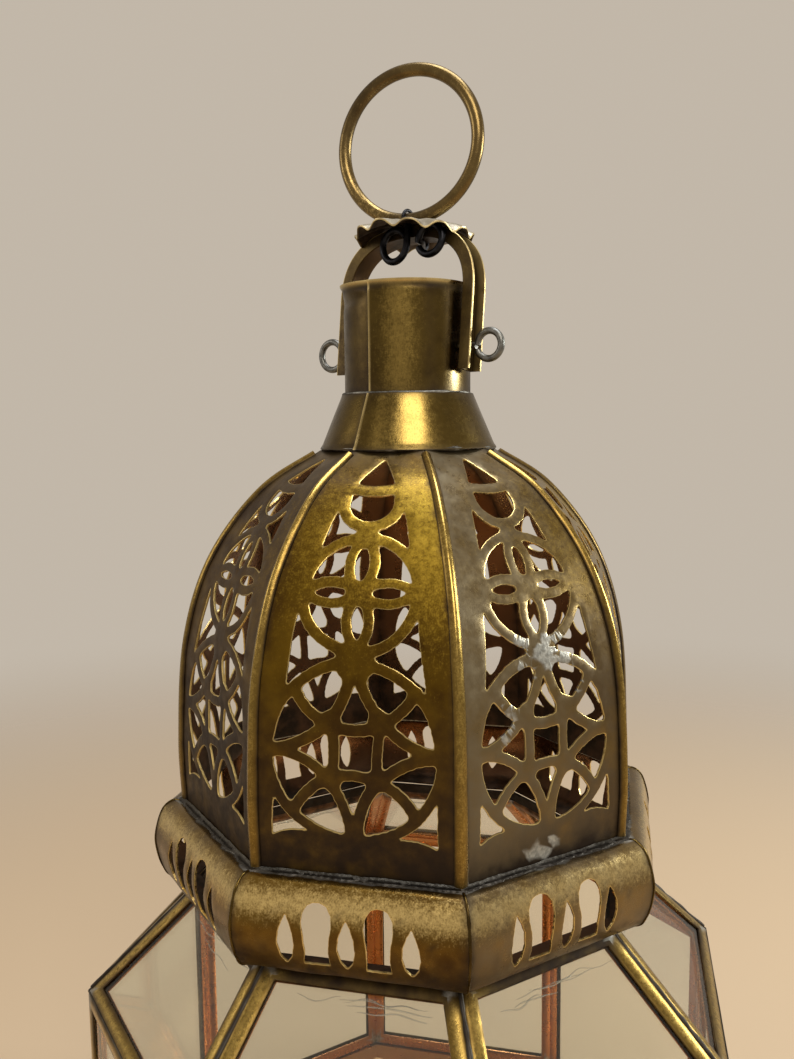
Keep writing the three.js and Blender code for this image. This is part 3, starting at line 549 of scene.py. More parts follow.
def spun(
    profile: Array, angles: Array, swell: Callable[[Array, Array], Array] | None = None,
) -> Shape:
    """A closed outline of radius and height turned about Z.

    Args:
        profile: The outline's points.
        angles: The angles of its rings.
        swell: What is added to the radius, from the angle and the height.

    Returns:
        The shape.
    """
    rings = []
    for angle in angles:
        out, height = profile.T
        if swell is not None:
            out = out + swell(np.full(len(profile), angle), height)
        rings.append(np.stack([out * math.cos(angle), out * math.sin(angle), height], axis=1))
    return lofted(np.array(rings), closed=True)


def smooth_line(points: Sequence[Sequence[float]], steps: int) -> Array:
    """Points along a smooth curve through the given ones.

    Args:
        points: The points, in two or three dimensions.
        steps: Steps between neighbours.

    Returns:
        The curve's points.
    """
    p = np.asarray(points, float)
    p = np.vstack([2 * p[0] - p[1], p, 2 * p[-1] - p[-2]])
    line = []
    for i in range(1, len(p) - 2):
        for step in range(steps):
            t = step / steps
            v0 = (p[i + 1] - p[i - 1]) / 2
            v1 = (p[i + 2] - p[i]) / 2
            cubic = (2 * p[i] - 2 * p[i + 1] + v0 + v1) * t ** 3
            line.append(cubic + (3 * (p[i + 1] - p[i]) - 2 * v0 - v1) * t ** 2 + v0 * t + p[i])
    line.append(p[-2])
    return np.array(line)


def tube(path: Array, radius: float | Array, sides: int = 14, closed: bool = False) -> Shape:
    """A round wire along a path.

    Args:
        path: The points of its centre line.
        radius: The wire's radius, or one for each point.
        sides: Sides of its section.
        closed: Whether it ends where it starts.

    Returns:
        The shape.
    """
    count = len(path)
    radii = np.broadcast_to(radius, (count,))
    if closed:
        along = np.roll(path, -1, axis=0) - np.roll(path, 1, axis=0)
    else:
        along = np.gradient(path, axis=0)
    along = along / np.linalg.norm(along, axis=1)[:, None]
    side = np.cross(along[0], (0.3, 0.2, 1.0))
    rings = np.zeros((count, sides, 3))
    turn = full_turn(sides)
    for i in range(count):
        side = side - along[i] * side.dot(along[i])
        side = side / np.linalg.norm(side)
        up = np.cross(along[i], side)
        rings[i] = path[i] + radii[i] * (np.outer(np.cos(turn), side) + np.outer(np.sin(turn), up))
    return lofted(rings, closed=closed)


def ripple(points: Array, seed: int, size: float, waves: float) -> Array:
    """Smooth hand-made unevenness, the same each time for one seed.

    Args:
        points: Where it is wanted, one row to a point.
        seed: Which unevenness.
        size: Its height.
        waves: Waves to the metre.

    Returns:
        One number for each point.
    """
    rng = np.random.default_rng(seed)
    total = np.zeros(len(points))
    for _ in range(5):
        direction = rng.normal(size=points.shape[1])
        direction *= waves * rng.uniform(0.6, 1.7) / np.linalg.norm(direction)
        total += np.sin(points @ direction * 2 * math.pi + rng.uniform(0, 2 * math.pi))
    return total * size / 5


@dataclass
class Assembly:
    """A sub-assembly, which dresses its pieces in the lantern's finishes."""

    finishes: Finishes

    def piece(
        self, name: str, shape: Shape, finish: Finish, replaces: Sequence[str] = (),
        crease: float = 38.0, body: Body = Body.LANTERN,
    ) -> None:
        """Turns a shape into a piece that rides on its body.

        Args:
            name: The piece's name.
            shape: Its mesh.
            finish: The finish that it wears.
            replaces: The nodes that it stands for.
            crease: The angle in degrees from which an edge stays sharp.
            body: The body that it rides on.
        """
        mesh = bpy.data.meshes.new(name)
        mesh.from_pydata(shape.points.tolist(), [], shape.faces)
        for key, values in shape.masks.items():
            layer = mesh.attributes.new(key, "FLOAT", "POINT")
            layer.data.foreach_set("value", np.asarray(values, np.float32))
        mesh.update()
        mesh.validate()
        mesh.shade_smooth()
        mesh.set_sharp_from_angle(angle=math.radians(crease))
        mesh.materials.append(self.finishes.get(finish))
        made = bpy.data.objects.new(name, mesh)
        bpy.context.scene.collection.objects.link(made)
        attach(made, body.value)
        if replaces:
            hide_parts(*replaces)
        LOG.info("%s: %d points", name, len(mesh.vertices))


# Pierced sheet


def contours(values: Array, level: float, step: float, origin: Array) -> list[Array]:
    """Closed lines where a field on a grid has one value.

    Args:
        values: The field, across first and then up.
        level: The value.
        step: The grid's step.
        origin: The grid's first point.

    Returns:
        The closed lines, each an array of points.
    """
    over = values > level
    code = over[:-1, :-1] * 1 + over[1:, :-1] * 2 + over[1:, 1:] * 4 + over[:-1, 1:] * 8
    links = {
        1: ["lb"], 2: ["br"], 3: ["lr"], 4: ["rt"], 5: ["lb", "rt"], 6: ["bt"], 7: ["lt"], 8: ["tl"],
        9: ["tb"], 10: ["br", "tl"], 11: ["tr"], 12: ["rl"], 13: ["rb"], 14: ["bl"],
    }
    following: dict[tuple, tuple] = {}
    for i, j in zip(*np.nonzero((code > 0) & (code < 15))):
        sides = {"b": (0, i, j), "t": (0, i, j + 1), "l": (1, i, j), "r": (1, i + 1, j)}
        for start, end in links[int(code[i, j])]:
            following[sides[start]] = sides[end]

    def point(side: tuple) -> tuple[float, float]:
        """Where the line crosses one side of a cell.

        Args:
            side: Its direction, and the column and row where it starts.

        Returns:
            The point.
        """
        kind, i, j = side
        first = values[i, j]
        second = values[i + 1, j] if kind == 0 else values[i, j + 1]
        share = (level - first) / (second - first)
        return (i + share, j) if kind == 0 else (i, j + share)

    lines = []
    while following:
        start, side = following.popitem()
        line = [point(start)]
        while side != start and side in following:
            line.append(point(side))
            side = following.pop(side)
        lines.append(np.array(line) * step + origin)
    return lines


def respaced(line: Array, spacing: float) -> Array:
    """A closed line with even steps of about the given length.

    Args:
        line: The line's points.
        spacing: The length of a step.

    Returns:
        The new points.
    """
    ends = np.vstack([line, line[:1]])
    along = np.concatenate([[0], np.cumsum(np.linalg.norm(np.diff(ends, axis=0), axis=1))])
    count = max(6, round(along[-1] / spacing))
    wanted = np.linspace(0, along[-1], count, endpoint=False)
    return np.stack([np.interp(wanted, along, ends[:, k]) for k in (0, 1)], axis=1)


def distance_to_line(x: Array, y: Array, line: Array) -> Array:
    """Distance from each point to a line of straight stretches.

    Args:
        x: The points' places across.
        y: Their places up.
        line: The line's points.

    Returns:
        The distances.
    """
    nearest = np.full(x.shape, 1e9)
    for (x0, y0), (x1, y1) in zip(line[:-1], line[1:]):
        dx, dy = x1 - x0, y1 - y0
        share = np.clip(((x - x0) * dx + (y - y0) * dy) / (dx * dx + dy * dy), 0, 1)
        nearest = np.minimum(nearest, np.hypot(x - x0 - share * dx, y - y0 - share * dy))
    return nearest


def inside_outline(x: Array, y: Array, line: Array) -> Array:
    """Which points lie inside a closed outline.

    Args:
        x: The points' places across.
        y: Their places up.
        line: The outline's points.

    Returns:
        True inside.
    """
    within = np.zeros(x.shape, bool)
    ends = np.vstack([line, line[:1]])
    for (x0, y0), (x1, y1) in zip(ends[:-1], ends[1:]):
        if y0 != y1:
            crossing = x0 + (y - y0) * (x1 - x0) / (y1 - y0)
            within ^= ((y0 <= y) != (y1 <= y)) & (x < crossing)
    return within


def outline_depth(x: Array, y: Array, line: Array) -> Array:
    """How far each point lies outside a closed outline, negative inside."""
    away = distance_to_line(x, y, np.vstack([line, line[:1]]))
    return np.where(inside_outline(x, y, line), -away, away)


def rounded_min(first: Array, second: Array, radius: float) -> Array:
    """The smaller of two fields, with a fillet where they meet."""
    share = np.clip(0.5 + 0.5 * (second - first) / radius, 0, 1)
    return second * (1 - share) + first * share - radius * share * (1 - share)


@dataclass
class PiercedSheet:
    """A flat sheet with holes, bent onto a surface. Sizes of the drawing are in millimetres."""

    length: float
    half_at: Callable[[Array], Array]
    holes: Callable[[Array, Array], Array]
    bend: Callable[[Array, Array, Array], Array]
    sheet: float = 0.8
    rim: float = 0.24
    burnish: float = 0.09
    step: float = 0.36
    spacing: float = 0.62
    fill: float = 3.2

    def build(self, dents: Callable[[Array], Array]) -> Shape:
        """Cuts and bends the sheet.

        Args:
            dents: What is added to the height of the face, from the points of the drawing.

        Returns:
            The sheet as a closed shape with the mask edge, which is 1 along a cut.
        """
        widest = float(self.half_at(np.linspace(0, self.length, 50)).max())
        across = np.arange(-widest, widest + self.step, self.step)
        up = np.arange(0, self.length + self.step, self.step)
        gx, gy = np.meshgrid(across, up, indexing="ij")
        depth = self.holes(gx, gy)
        origin = np.array([across[0], up[0]])
        cuts, rims = (
            [respaced(c, self.spacing) for c in contours(depth, level, self.step, origin) if len(c) > 12]
            for level in (0.0, self.rim))

        def depth_at(points: Array) -> Array:
            """The field at any points of the drawing.

            Args:
                points: The points.

            Returns:
                The field's values.
            """
            u = np.clip((points - origin) / self.step, 0, np.array(depth.shape) - 1.001)
            i, f = u.astype(int), u % 1
            low = depth[i[:, 0], i[:, 1]] * (1 - f[:, 0]) + depth[i[:, 0] + 1, i[:, 1]] * f[:, 0]
            above = i[:, 1] + 1
            high = depth[i[:, 0], above] * (1 - f[:, 0]) + depth[i[:, 0] + 1, above] * f[:, 0]
            return low * (1 - f[:, 1]) + high * f[:, 1]

        ups = np.linspace(0, self.length, max(2, round(self.length / 1.6)))
        right = np.stack([self.half_at(ups), ups], axis=1)
        left = right[::-1] * (-1, 1)
        foot = np.stack([np.linspace(-right[0, 0], right[0, 0], 26)[1:-1], np.zeros(24)], axis=1)
        head_half = right[-1, 0]
        head = np.stack([np.linspace(head_half, -head_half, 12)[1:-1], np.full(10, self.length)], axis=1)
        border = np.concatenate([foot, right, head, left])
        columns = np.arange(-widest, widest, self.fill)
        fx, fy = np.meshgrid(columns, np.arange(1.5, self.length, self.fill * 0.8))
        inner = np.stack([fx.ravel(), fy.ravel()], axis=1)
        keep = (np.abs(inner[:, 0]) < self.half_at(inner[:, 1]) - 0.9) & (depth_at(inner) > self.rim + 0.7)
        inner = inner[keep]

        points: list[Array] = [border]
        loops = [list(range(len(border)))]
        total = len(border)
        for cut in cuts:
            loops.append(list(range(total, total + len(cut))))
            points.append(cut)
            total += len(cut)
        edges = []
        for line in rims:
            if np.any(np.abs(line[:, 0]) > self.half_at(line[:, 1]) - 0.3):
                continue
            ids = list(range(total, total + len(line)))
            edges += list(zip(ids, ids[1:] + ids[:1]))
            points.append(line)
            total += len(line)
        points.append(inner)
        flat = np.concatenate(points)
        found = delaunay_2d_cdt([Vector(p) for p in flat], edges, loops, 1, 1e-5, True)
        flat = np.array([tuple(v) for v in found[0]])
        kept = [list(f) for f, source in zip(found[2], found[5]) if source == [0]]
        used = np.unique(np.array(kept))
        index = np.full(len(flat), -1)
        index[used] = np.arange(len(used))
        flat = flat[used]
        kept = [[int(index[v]) for v in f] for f in kept]

        from_cut = np.clip(depth_at(flat), 0, None)
        round_off = held(1 - from_cut / self.rim) ** 2 * self.burnish
        outer = -round_off + dents(flat)
        top = self.bend(flat[:, 0], flat[:, 1], outer)
        low = self.bend(flat[:, 0], flat[:, 1], outer - self.sheet + round_off * 1.5)
        count = len(flat)
        rim_edges: dict[tuple[int, int], bool] = {}
        for a, b, c in kept:
            for start, end in ((a, b), (b, c), (c, a)):
                if rim_edges.pop((end, start), None) is None:
                    rim_edges[(start, end)] = True
        faces = kept + [[c + count, b + count, a + count] for a, b, c in kept]
        faces += [[b, a, a + count, b + count] for a, b in rim_edges]
        shape = Shape(np.concatenate([top, low]), faces)
        edge = held(1 - from_cut / (self.rim * 0.9))
        self.flat = np.concatenate([flat, flat])
        return shape.masked(inside=np.repeat([0.0, 1.0], count), edge=np.concatenate([edge, edge * 0.4]))


def arc_points(start: Sequence[float], end: Sequence[float], rise: float, steps: int = 14) -> Array:
    """Points of an arc from one end to the other that bows to its left by the given rise.

    Args:
        start: One end.
        end: The other end.
        rise: How far it bows.
        steps: How many points.

    Returns:
        The points.
    """
    (x0, y0), (x1, y1) = start, end
    half = math.hypot(x1 - x0, y1 - y0) / 2
    radius = (half * half + rise * rise) / (2 * abs(rise))
    spread = 2 * math.atan2(abs(rise), half)
    angle = spread * np.linspace(-1, 1, steps + 1)
    run = half + radius * np.sin(angle)
    lift = math.copysign(1, rise) * (radius * np.cos(angle) - radius * math.cos(spread))
    ax, ay = (x1 - x0) / half / 2, (y1 - y0) / half / 2
    return np.stack([x0 + ax * run - ay * lift, y0 + ay * run + ax * lift], axis=1)


# Sub-assemblies


@dataclass
class Fretwork:
    """The drawing of one dome panel, in millimetres across and up its flat sheet."""

    width: float = 3.45
    lower: tuple[float, float] = (39.0, 27.2)
    upper: tuple[float, float] = (87.6, 18.0)
    window: Sequence[tuple[float, float]] = (
        (26, 11.2), (25.6, 24), (26, 39), (22, 58), (19.4, 76), (18.2, 88), (14.4, 100),
        (10.6, 117.5), (7.6, 122.5), (6.2, 127.5), (0.5, 140.5))
    cup_band: tuple[float, float, float] = (9.0, 120.6, -11.2)
    top_band: tuple[float, float, float] = (9.0, 125.4, -1.8)
    star_top: tuple[float, float, float] = (18.6, 18.4, -11.8)
    star_foot: tuple[float, float, float] = (19.0, -17.6, 11.0)
    star_side: tuple[float, float, float] = (7.9, 10, 7.2)
    petal_inset: float = 0.6
    petal_bows: tuple[float, float] = (3.5, 3.3)
    fillet: float = 1.5
    jitter: float = 0.17
    wander: float = 0.55

    def bars(self, rng: np.random.Generator) -> list[tuple[Array, float]]:
        """The bars of the drawing, each a line and a width, with small differences of hand.

        Args:
            rng: Where the differences come from.

        Returns:
            The bars.
        """
        low, low_r = self.lower
        high, high_r = self.upper
        circle = np.linspace(0, 2 * math.pi, 56)
        unit = np.stack([np.cos(circle), np.sin(circle)], axis=1)
        wide, petal = self.width, high_r - self.petal_inset
        found = [(unit * low_r + (0, low), wide), (unit * high_r + (0, high), wide)]
        bands = (
            (self.cup_band, 0, 0.3), (self.top_band, 0, 1.0), (self.star_top, low, 0),
            (self.star_foot, low, 0),
        )
        for (half, height, rise), base, more in bands:
            found.append((arc_points((-half, base + height), (half, base + height), rise), wide + more))
        star_x, star_rise, star_foot_x = self.star_side
        for side in (-1, 1):
            tip = (side * low_r, low)
            found += [
                (arc_points((side, low + low_r), tip, side * -6.9), wide),
                (arc_points(tip, (side, low - low_r), side * -8.0), wide),
                (arc_points((side * star_x, low + star_rise), (side * star_foot_x, low - 8), side * -0.7),
                 wide - 0.2),
                (arc_points((side * 25.5, 10.2), (side * 12, 11.4), side * -1.9), 2.6),
            ]
            for bow in (-1, 1):
                for tip, rise in zip(((0, high + side * petal), (side * petal, high)), self.petal_bows):
                    found.append((arc_points((0, high), tip, bow * rise), wide - 0.35))
        nodes = [(0, low + low_r, 5.6), (0, high, 3.4), (0, low - low_r, 3.2), (0, high + high_r, 3.6)]
        nodes += [(s * star_x, low + 9.8, 3.1) for s in (-1, 1)]
        nodes += [(s * star_foot_x, low - 8, 3.1) for s in (-1, 1)]
        found += [(np.array([(x - 0.05, y), (x + 0.05, y)]), 2 * r) for x, y, r in nodes]
        return [(line + rng.normal(0, 0.22, 2), width * rng.uniform(0.94, 1.1)) for line, width in found]

    def depth(self, seed: int) -> Callable[[Array, Array], Array]:
        """The field that is negative in the holes of one panel.

        Args:
            seed: Which panel's hand differences.

        Returns:
            A function of the points across and up.
        """
        bars = self.bars(np.random.default_rng(seed))
        right = np.array(self.window)
        outline = np.concatenate([right, right[::-1] * (-1, 1)])

        def field_at(x: Array, y: Array) -> Array:
            """Distance from the nearest cut, negative in a hole.

            Args:
                x: The points' places across.
                y: Their places up.

            Returns:
                The distances.
            """
            place = np.stack([x.ravel(), y.ravel()], axis=1)
            x = x + ripple(place, seed + 40, self.wander, 0.03).reshape(x.shape)
            y = y + ripple(place, seed + 41, self.wander, 0.03).reshape(x.shape)
            away = outline_depth(x, y, outline)
            for line, width in bars:
                bar = distance_to_line(x, y, line) - width / 2
                away = -rounded_min(-away, bar, self.fillet)
            burr = ripple(place, seed + 42, self.jitter, 0.38).reshape(x.shape)
            return away + burr

        return field_at


@dataclass
class Profile:
    """A smooth line of distance from the axis and height, which a sheet follows."""

    points: Sequence[tuple[float, float]]
    steps: int

    def __post_init__(self) -> None:
        """Measures the line and its direction."""
        self.line = smooth_line(self.points, self.steps)
        stretches = np.linalg.norm(np.diff(self.line, axis=0), axis=1)
        self.along = np.concatenate([[0], np.cumsum(stretches)])
        slope = np.gradient(self.line, self.along, axis=0)
        self.slope = slope / np.linalg.norm(slope, axis=1)[:, None]
        self.length = float(self.along[-1])

    def at(self, distance: Array) -> tuple[Array, ...]:
        """Distance from the axis, height and the two parts of the direction, along the line.

        Args:
            distance: How far along the line.

        Returns:
            The four values.
        """
        wanted = np.clip(distance, 0, self.length)
        columns = (*self.line.T, *self.slope.T)
        return tuple(np.interp(wanted, self.along, column) for column in columns)


@dataclass
class Dome(Assembly):
    """Eight fretted panels and the beads over their joints."""

    radius: float = DOME_RADIUS
    top_radius: float = 32.6 * MM
    shape: Sequence[tuple[float, float]] = (
        (0, 1), (0.19, 1.01), (0.47, 0.955), (0.7, 0.77), (0.89, 0.415), (1, 0))
    bead_width: float = 4.6 * MM
    bead_height: float = 0.95 * MM
    bead_lift: float = 0.35 * MM
    bead_steps: int = 70
    sheet_length: float = 146.3
    # How much painted grey reflection, over a grey-brown film, each panel carries.
    haze: Sequence[float] = (0.0, 0.66, 0.35, 0.1, 0.45, 0.2, 0.4, 0.0)
    repaired_face: int = 1
    shaded_face: int = 7
    solder_drops: Sequence[tuple[float, float, float]] = (
        (0.5, 66.5, 5.6), (7.5, 70.5, 4.2), (-7.0, 71.0, 3.4), (8.5, 61.5, 4.6), (-7.5, 60.5, 4.4),
        (-14.0, 50.0, 4.4), (-16.5, 43.0, 3.6), (13.5, 55.0, 3.4), (14.0, 68.0, 3.0))

    def __post_init__(self) -> None:
        """Lays the dome's line between the foot and the top that the frame gives."""
        low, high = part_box("dome_panel_1")
        spread = (self.radius - self.top_radius) * FLAT
        self.profile = Profile([
            (self.top_radius * FLAT + out * spread, low.z + up * (high.z - low.z))
            for up, out in self.shape], 60)

    def at(self, share: Array) -> tuple[Array, ...]:
        """Distance from the axis, height and direction at shares of the line."""
        return self.profile.at(share * self.profile.length)

    def bend(self, across: Array, up: Array, out: Array) -> Array:
        """Puts points of the flat drawing, in millimetres, on panel 0."""
        r, z, tr, tz = self.at(up / self.sheet_length)
        return np.stack([across * MM, -(r + out * MM * tz), z - out * MM * tr], axis=1)

    def half_at(self, up: Array) -> Array:
        """Half the width of the panel at a height of the drawing, in millimetres."""
        return self.at(up / self.sheet_length)[0] * SLANT / MM - SIDE_GAP

    def drops(self, flat: Array) -> Array:
        """How much old solder lies on the mended panel, at points of its drawing.

        Args:
            flat: The points.

        Returns:
            The mask.
        """
        across, up = flat.T
        solder = np.zeros(len(flat))
        streak = 0.66 + ripple(flat, 77, 0.75, 0.42)
        for x, y, size in self.solder_drops:
            solder += hump(np.hypot(across - x, up - y), 0, size) * streak
        ragged = 0.8 + ripple(flat, 78, 0.9, 0.16)
        return solder + np.exp(-(((across + 1) / 9) ** 2 + ((up - 5.0) / 4.0) ** 2)) * ragged

    def panel(self, face: int) -> None:
        """Makes one fretted panel.

        Args:
            face: Which side of the dome.
        """
        seed = 100 + face * 7
        sheet = PiercedSheet(self.sheet_length, self.half_at, Fretwork().depth(seed), self.bend)
        shape = sheet.build(lambda p: ripple(p, seed + 3, 0.16, 0.045))
        across, up = sheet.flat.T
        half = self.half_at(up)
        down = self.sheet_length - up
        mended, shaded = face == self.repaired_face, face == self.shaded_face
        uneven = ripple(sheet.flat, seed + 5, 1.0, 0.09)
        # Darker along the joints, at the foot and at the head; dirt and painted shade over the lower part,
        # and more painted shade on the whole shaded face.
        grime = falling(half - np.abs(across), 1.2) * 0.85
        grime += falling(up + uneven * 1.8, 6.0) * 0.85
        grime += held(1 - up / 60.0) ** 0.8 * (0.42 if mended else 0.98) + (0.4 if shaded else 0.0)
        grime += falling(down, 1.6) * 0.5
        # Painted grey reflection over a grey-brown film, stronger toward one side and toward the head.
        haze = self.haze[face] * (1 - 0.45 * across / half) + falling(down, 13.0) * 0.5
        # Painted highlight with worn metal over the upper part, brighter toward one side.
        glow = hump(up, 108, 33.0) * (0.5 if mended or shaded else 0.95) * held(1 - grime)
        glow *= 0.75 + 0.35 * across / half
        solder = self.drops(sheet.flat) if mended else 0.0
        shape.masked(grime=held(grime), glow=glow, haze=held(haze), solder=held(solder))
        self.piece(f"fretted_panel_{face + 1}", shape.turned(2 * HALF * face), self.finishes.fret,
                   [f"dome_panel_{face + 1}"])

    def bead(self, corner: int) -> None:
        """Makes the bead over one joint.

        Args:
            corner: Which joint.
        """
        share = np.linspace(0.004, 0.985, self.bead_steps)[:, None]
        r, z, tr, tz = self.at(share)
        turn = np.linspace(-0.2, math.pi + 0.2, 13)
        x, out = np.cos(turn) * self.bead_width / 2, np.sin(turn) * self.bead_height
        wobble = ripple(share * 0.146, 500 + corner, 0.16 * MM, 22.0)[:, None]
        taper = 1 - 0.3 * share
        lift = self.bead_lift + out - np.abs(x) * taper * 0.37
        shape = lofted(np.stack([x * taper + wobble, -(r / FLAT + lift * tz), z - lift * tr], axis=-1))
        # Darker at the bead's sides and foot; a painted highlight along its crest, brighter upward.
        grime = held(1.3 - np.sin(turn) * 1.9) + np.exp(-share * 30) * 0.4
        glow = held(np.sin(turn)) ** 3 * (0.4 + 0.6 * share)
        shape.masked(grime=held(grime), glow=glow)
        self.piece(f"rib_{corner + 1}", shape.turned(2 * HALF * (corner - 0.5)), self.finishes.worn,
                   [f"dome_bead_{corner + 1}"], 60)

    def build(self) -> None:
        """Makes the dome."""
        for face in range(SIDES):
            self.panel(face)
            self.bead(face)


@dataclass
class Collar(Assembly):
    """Eight rolled and pierced segments under the dome, mitred and soldered at the corners."""

    pitch: float = 9.6
    hole_foot: float = 23.2
    arch_half: float = 4.5
    arch_head: float = 4.6
    oval_half: float = 2.5
    oval_head: float = 9.4
    arch_side: Sequence[tuple[float, float]] = (
        (0.84, 0), (0.76, 0.22), (0.84, 0.46), (1.0, 0.68), (0.93, 0.84), (0.62, 0.96), (0.22, 1.0))
    oval_side: Sequence[tuple[float, float]] = (
        (0.1, -0.02), (0.68, 0.14), (1.0, 0.42), (0.86, 0.7), (0.42, 0.93))
    oval_tip: float = 1.08
    outline: Sequence[tuple[float, float]] = (
        (0.06, 0.0), (0.4, -0.02), (0.76, 0.1), (1.0, 0.4), (0.97, 0.62), (0.8, 0.83), (0.5, 0.97))
    foot_radius: float = 81.2 * MM
    # Painted grey reflection and film on each segment.
    haze: Sequence[float] = (0.0, 0.55, 0.3, 0.1, 0.4, 0.2, 0.35, 0.3)
    scored: Sequence[tuple[float, float]] = ((-2, 7.6), (0, 7.2), (2, 7.2))
    mitre_width: float = 0.5 * MM
    mitre_height: float = 0.32 * MM
    foot_section: Sequence[tuple[float, float]] = (
        (-0.15, 1.5), (0.45, 1.25), (1.0, 0.9), (1.9, 0.95), (2.9, 0.75), (3.3, 0.35), (2.0, -0.1),
        (0.4, -0.25), (-0.2, 0.3))

    def __post_init__(self) -> None:
        """Lays the collar's line down its outside from the frame's box."""
        low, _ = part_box("collar_segment_1")
        self.top_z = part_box("dome_panel_1")[0].z - SEAT_GAP
        height = self.top_z - low.z
        swell = -low.y / FLAT - DOME_RADIUS
        points = [((DOME_RADIUS + out * swell) * FLAT + SEAT_GAP, self.top_z - down * height)
                  for out, down in self.outline]
        points.append((self.foot_radius * FLAT, self.top_z - height))
        self.profile = Profile(points, 24)
        self.length = self.profile.length / MM

    def bend(self, across: Array, down: Array, out: Array) -> Array:
        """Puts points of the flat drawing, in millimetres, on segment 0."""
        r, z, tr, tz = self.profile.at(down * MM)
        return np.stack([across * MM, -(r - out * MM * tz), z + out * MM * tr], axis=1)

    def half_at(self, down: Array) -> Array:
        """Half the width of the segment, in millimetres."""
        return self.profile.at(down * MM)[0] * SLANT / MM - SIDE_GAP

    def down_at(self, drop: float) -> float:
        """The length down the line at a drop from the collar's top, on its outside.

        Args:
            drop: The drop.

        Returns:
            The length.
        """
        heights = self.profile.line[:, 1]
        side = heights <= self.top_z + 1e-6
        return float(np.interp(drop, (self.top_z - heights[side]) / MM, self.profile.along[side] / MM))

    def hole(self, centre: float, half: float, top: float, arch: bool) -> Array:
        """The outline of one hole.

        Args:
            centre: Its middle, across the segment.
            half: Half its width.
            top: The drop from the collar's top to its head.
            arch: Whether it is a round-headed arch with drawn-in sides, or else a pointed oval.

        Returns:
            The outline's points.
        """
        foot = self.down_at(self.hole_foot)
        tall = foot - self.down_at(top)
        side = self.arch_side if arch else self.oval_side
        tip = [] if arch else [(0, self.oval_tip)]
        shape = [(-x, y) for x, y in side] + tip + list(side[::-1])
        return np.array([(centre + x * half, foot - y * tall) for x, y in shape])

    def segment(self, face: int) -> None:
        """Makes one segment.

        Args:
            face: Which side of the collar.
        """
        rng = np.random.default_rng(300 + face)
        outlines = []
        for place in (-2, -1, 0, 1, 2):
            centre = place * self.pitch + rng.normal(0, 0.35)
            arch = abs(place) == 1
            half = (self.arch_half if arch else self.oval_half) * rng.uniform(0.93, 1.06)
            head = (self.arch_head if arch else self.oval_head) + rng.normal(0, 0.35)
            outlines.append(self.hole(centre, half, head, arch))

        def holes(x: Array, y: Array) -> Array:
            """The field that is negative in the holes.

            Args:
                x: The points' places across.
                y: Their places up.

            Returns:
                The field's values.
            """
            place = np.stack([x.ravel(), y.ravel()], axis=1)
            burr = ripple(place, 320 + face, 0.13, 0.4).reshape(x.shape)
            nearest = np.min([outline_depth(x, y, line) for line in outlines], axis=0)
            return nearest + burr - 0.15

        cut = PiercedSheet(self.length, self.half_at, holes, self.bend, fill=2.4, step=0.3, spacing=0.5)
        shape = cut.build(lambda p: ripple(p, 340 + face, 0.2, 0.04))
        across, down = cut.flat.T
        uneven = ripple(cut.flat, 360 + face, 1.0, 0.12)
        lower = self.length * 0.45
        # Darker along the joints and the top edge; dirt and painted shade over the lower part, which turns
        # under.
        grime = falling(self.half_at(down) - np.abs(across), 1.6) * 0.9
        grime += held((down - lower) / lower) * (0.5 if face == 1 else 1.1)
        grime += np.exp(-down / 1.2) * 0.6
        solder = held(1.0 - (down + uneven * 1.6) / 4.5)
        # Painted highlight along the roll's crown.
        glow = hump(down - self.down_at(2.6), 2.5, 5.0)
        score = np.full(len(cut.flat), 1e9)
        for place, half in self.scored:
            ring = np.hypot((across - place * self.pitch) / half, (down - self.down_at(18.5)) / 13.0)
            score = np.minimum(score, np.abs(ring - 1) * half)
        grime = held(held(grime) + hump(score, 0, 0.35) * 0.5)
        shape.masked(grime=grime, glow=glow, haze=self.haze[face], solder=solder)
        self.piece(f"rolled_band_{face + 1}", shape.turned(2 * HALF * face), self.finishes.band,
                   [f"collar_segment_{face + 1}"])

    def joint(self, corner: int) -> None:
        """Makes the solder run down one mitre.

        Args:
            corner: Which mitre.
        """
        down = np.linspace(0.2, self.length - 0.8, 46)[:, None]
        r, z, tr, tz = self.profile.at(down * MM)
        wide = self.mitre_width * (1 + ripple(down * MM, 400 + corner, 0.35, 160.0))[:, None]
        turn = full_turn(10)
        out = np.sin(turn) * self.mitre_height + 0.02 * MM
        rings = np.stack([np.cos(turn) * wide, -(r / FLAT - out * tz), z + out * tr], axis=-1)
        self.piece(f"mitre_solder_{corner + 1}", lofted(rings).turned(2 * HALF * (corner - 0.5)),
                   self.finishes.tube, crease=60)

    def band(self, face: int) -> None:
        """Makes the rough band of solder between the dome's foot and one segment.

        Args:
            face: Which side.
        """
        outs, ups = np.array(self.foot_section).T
        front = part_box("dome_panel_1")[0].y
        steps = 110
        across = np.linspace(front * SLANT, -front * SLANT, steps)[:, None]
        swell = (1 + ripple(across, 420 + face, 0.5, 60.0) + ripple(across, 430 + face, 0.22, 320.0))[:, None]
        out = outs * np.where(outs > 1.2, swell * 0.62, 1.0) * MM
        height = self.top_z + ups * (0.7 + 0.3 * swell) * MM
        shape = lofted(np.stack([across * (1 - out / front), front - out, height], axis=-1))
        shape.points[:, 1] -= ripple(shape.points, 440 + face, 0.16 * MM, 500.0)
        # Painted highlight along the top of the solder band.
        shape.masked(glow=np.tile(held(ups - 0.7) * 0.9, steps))
        self.piece(f"foot_solder_{face + 1}", shape.turned(2 * HALF * face), self.finishes.lead, crease=70)

    def build(self) -> None:
        """Makes the collar."""
        for face in range(SIDES):
            self.segment(face)
            self.joint(face)
            self.band(face)


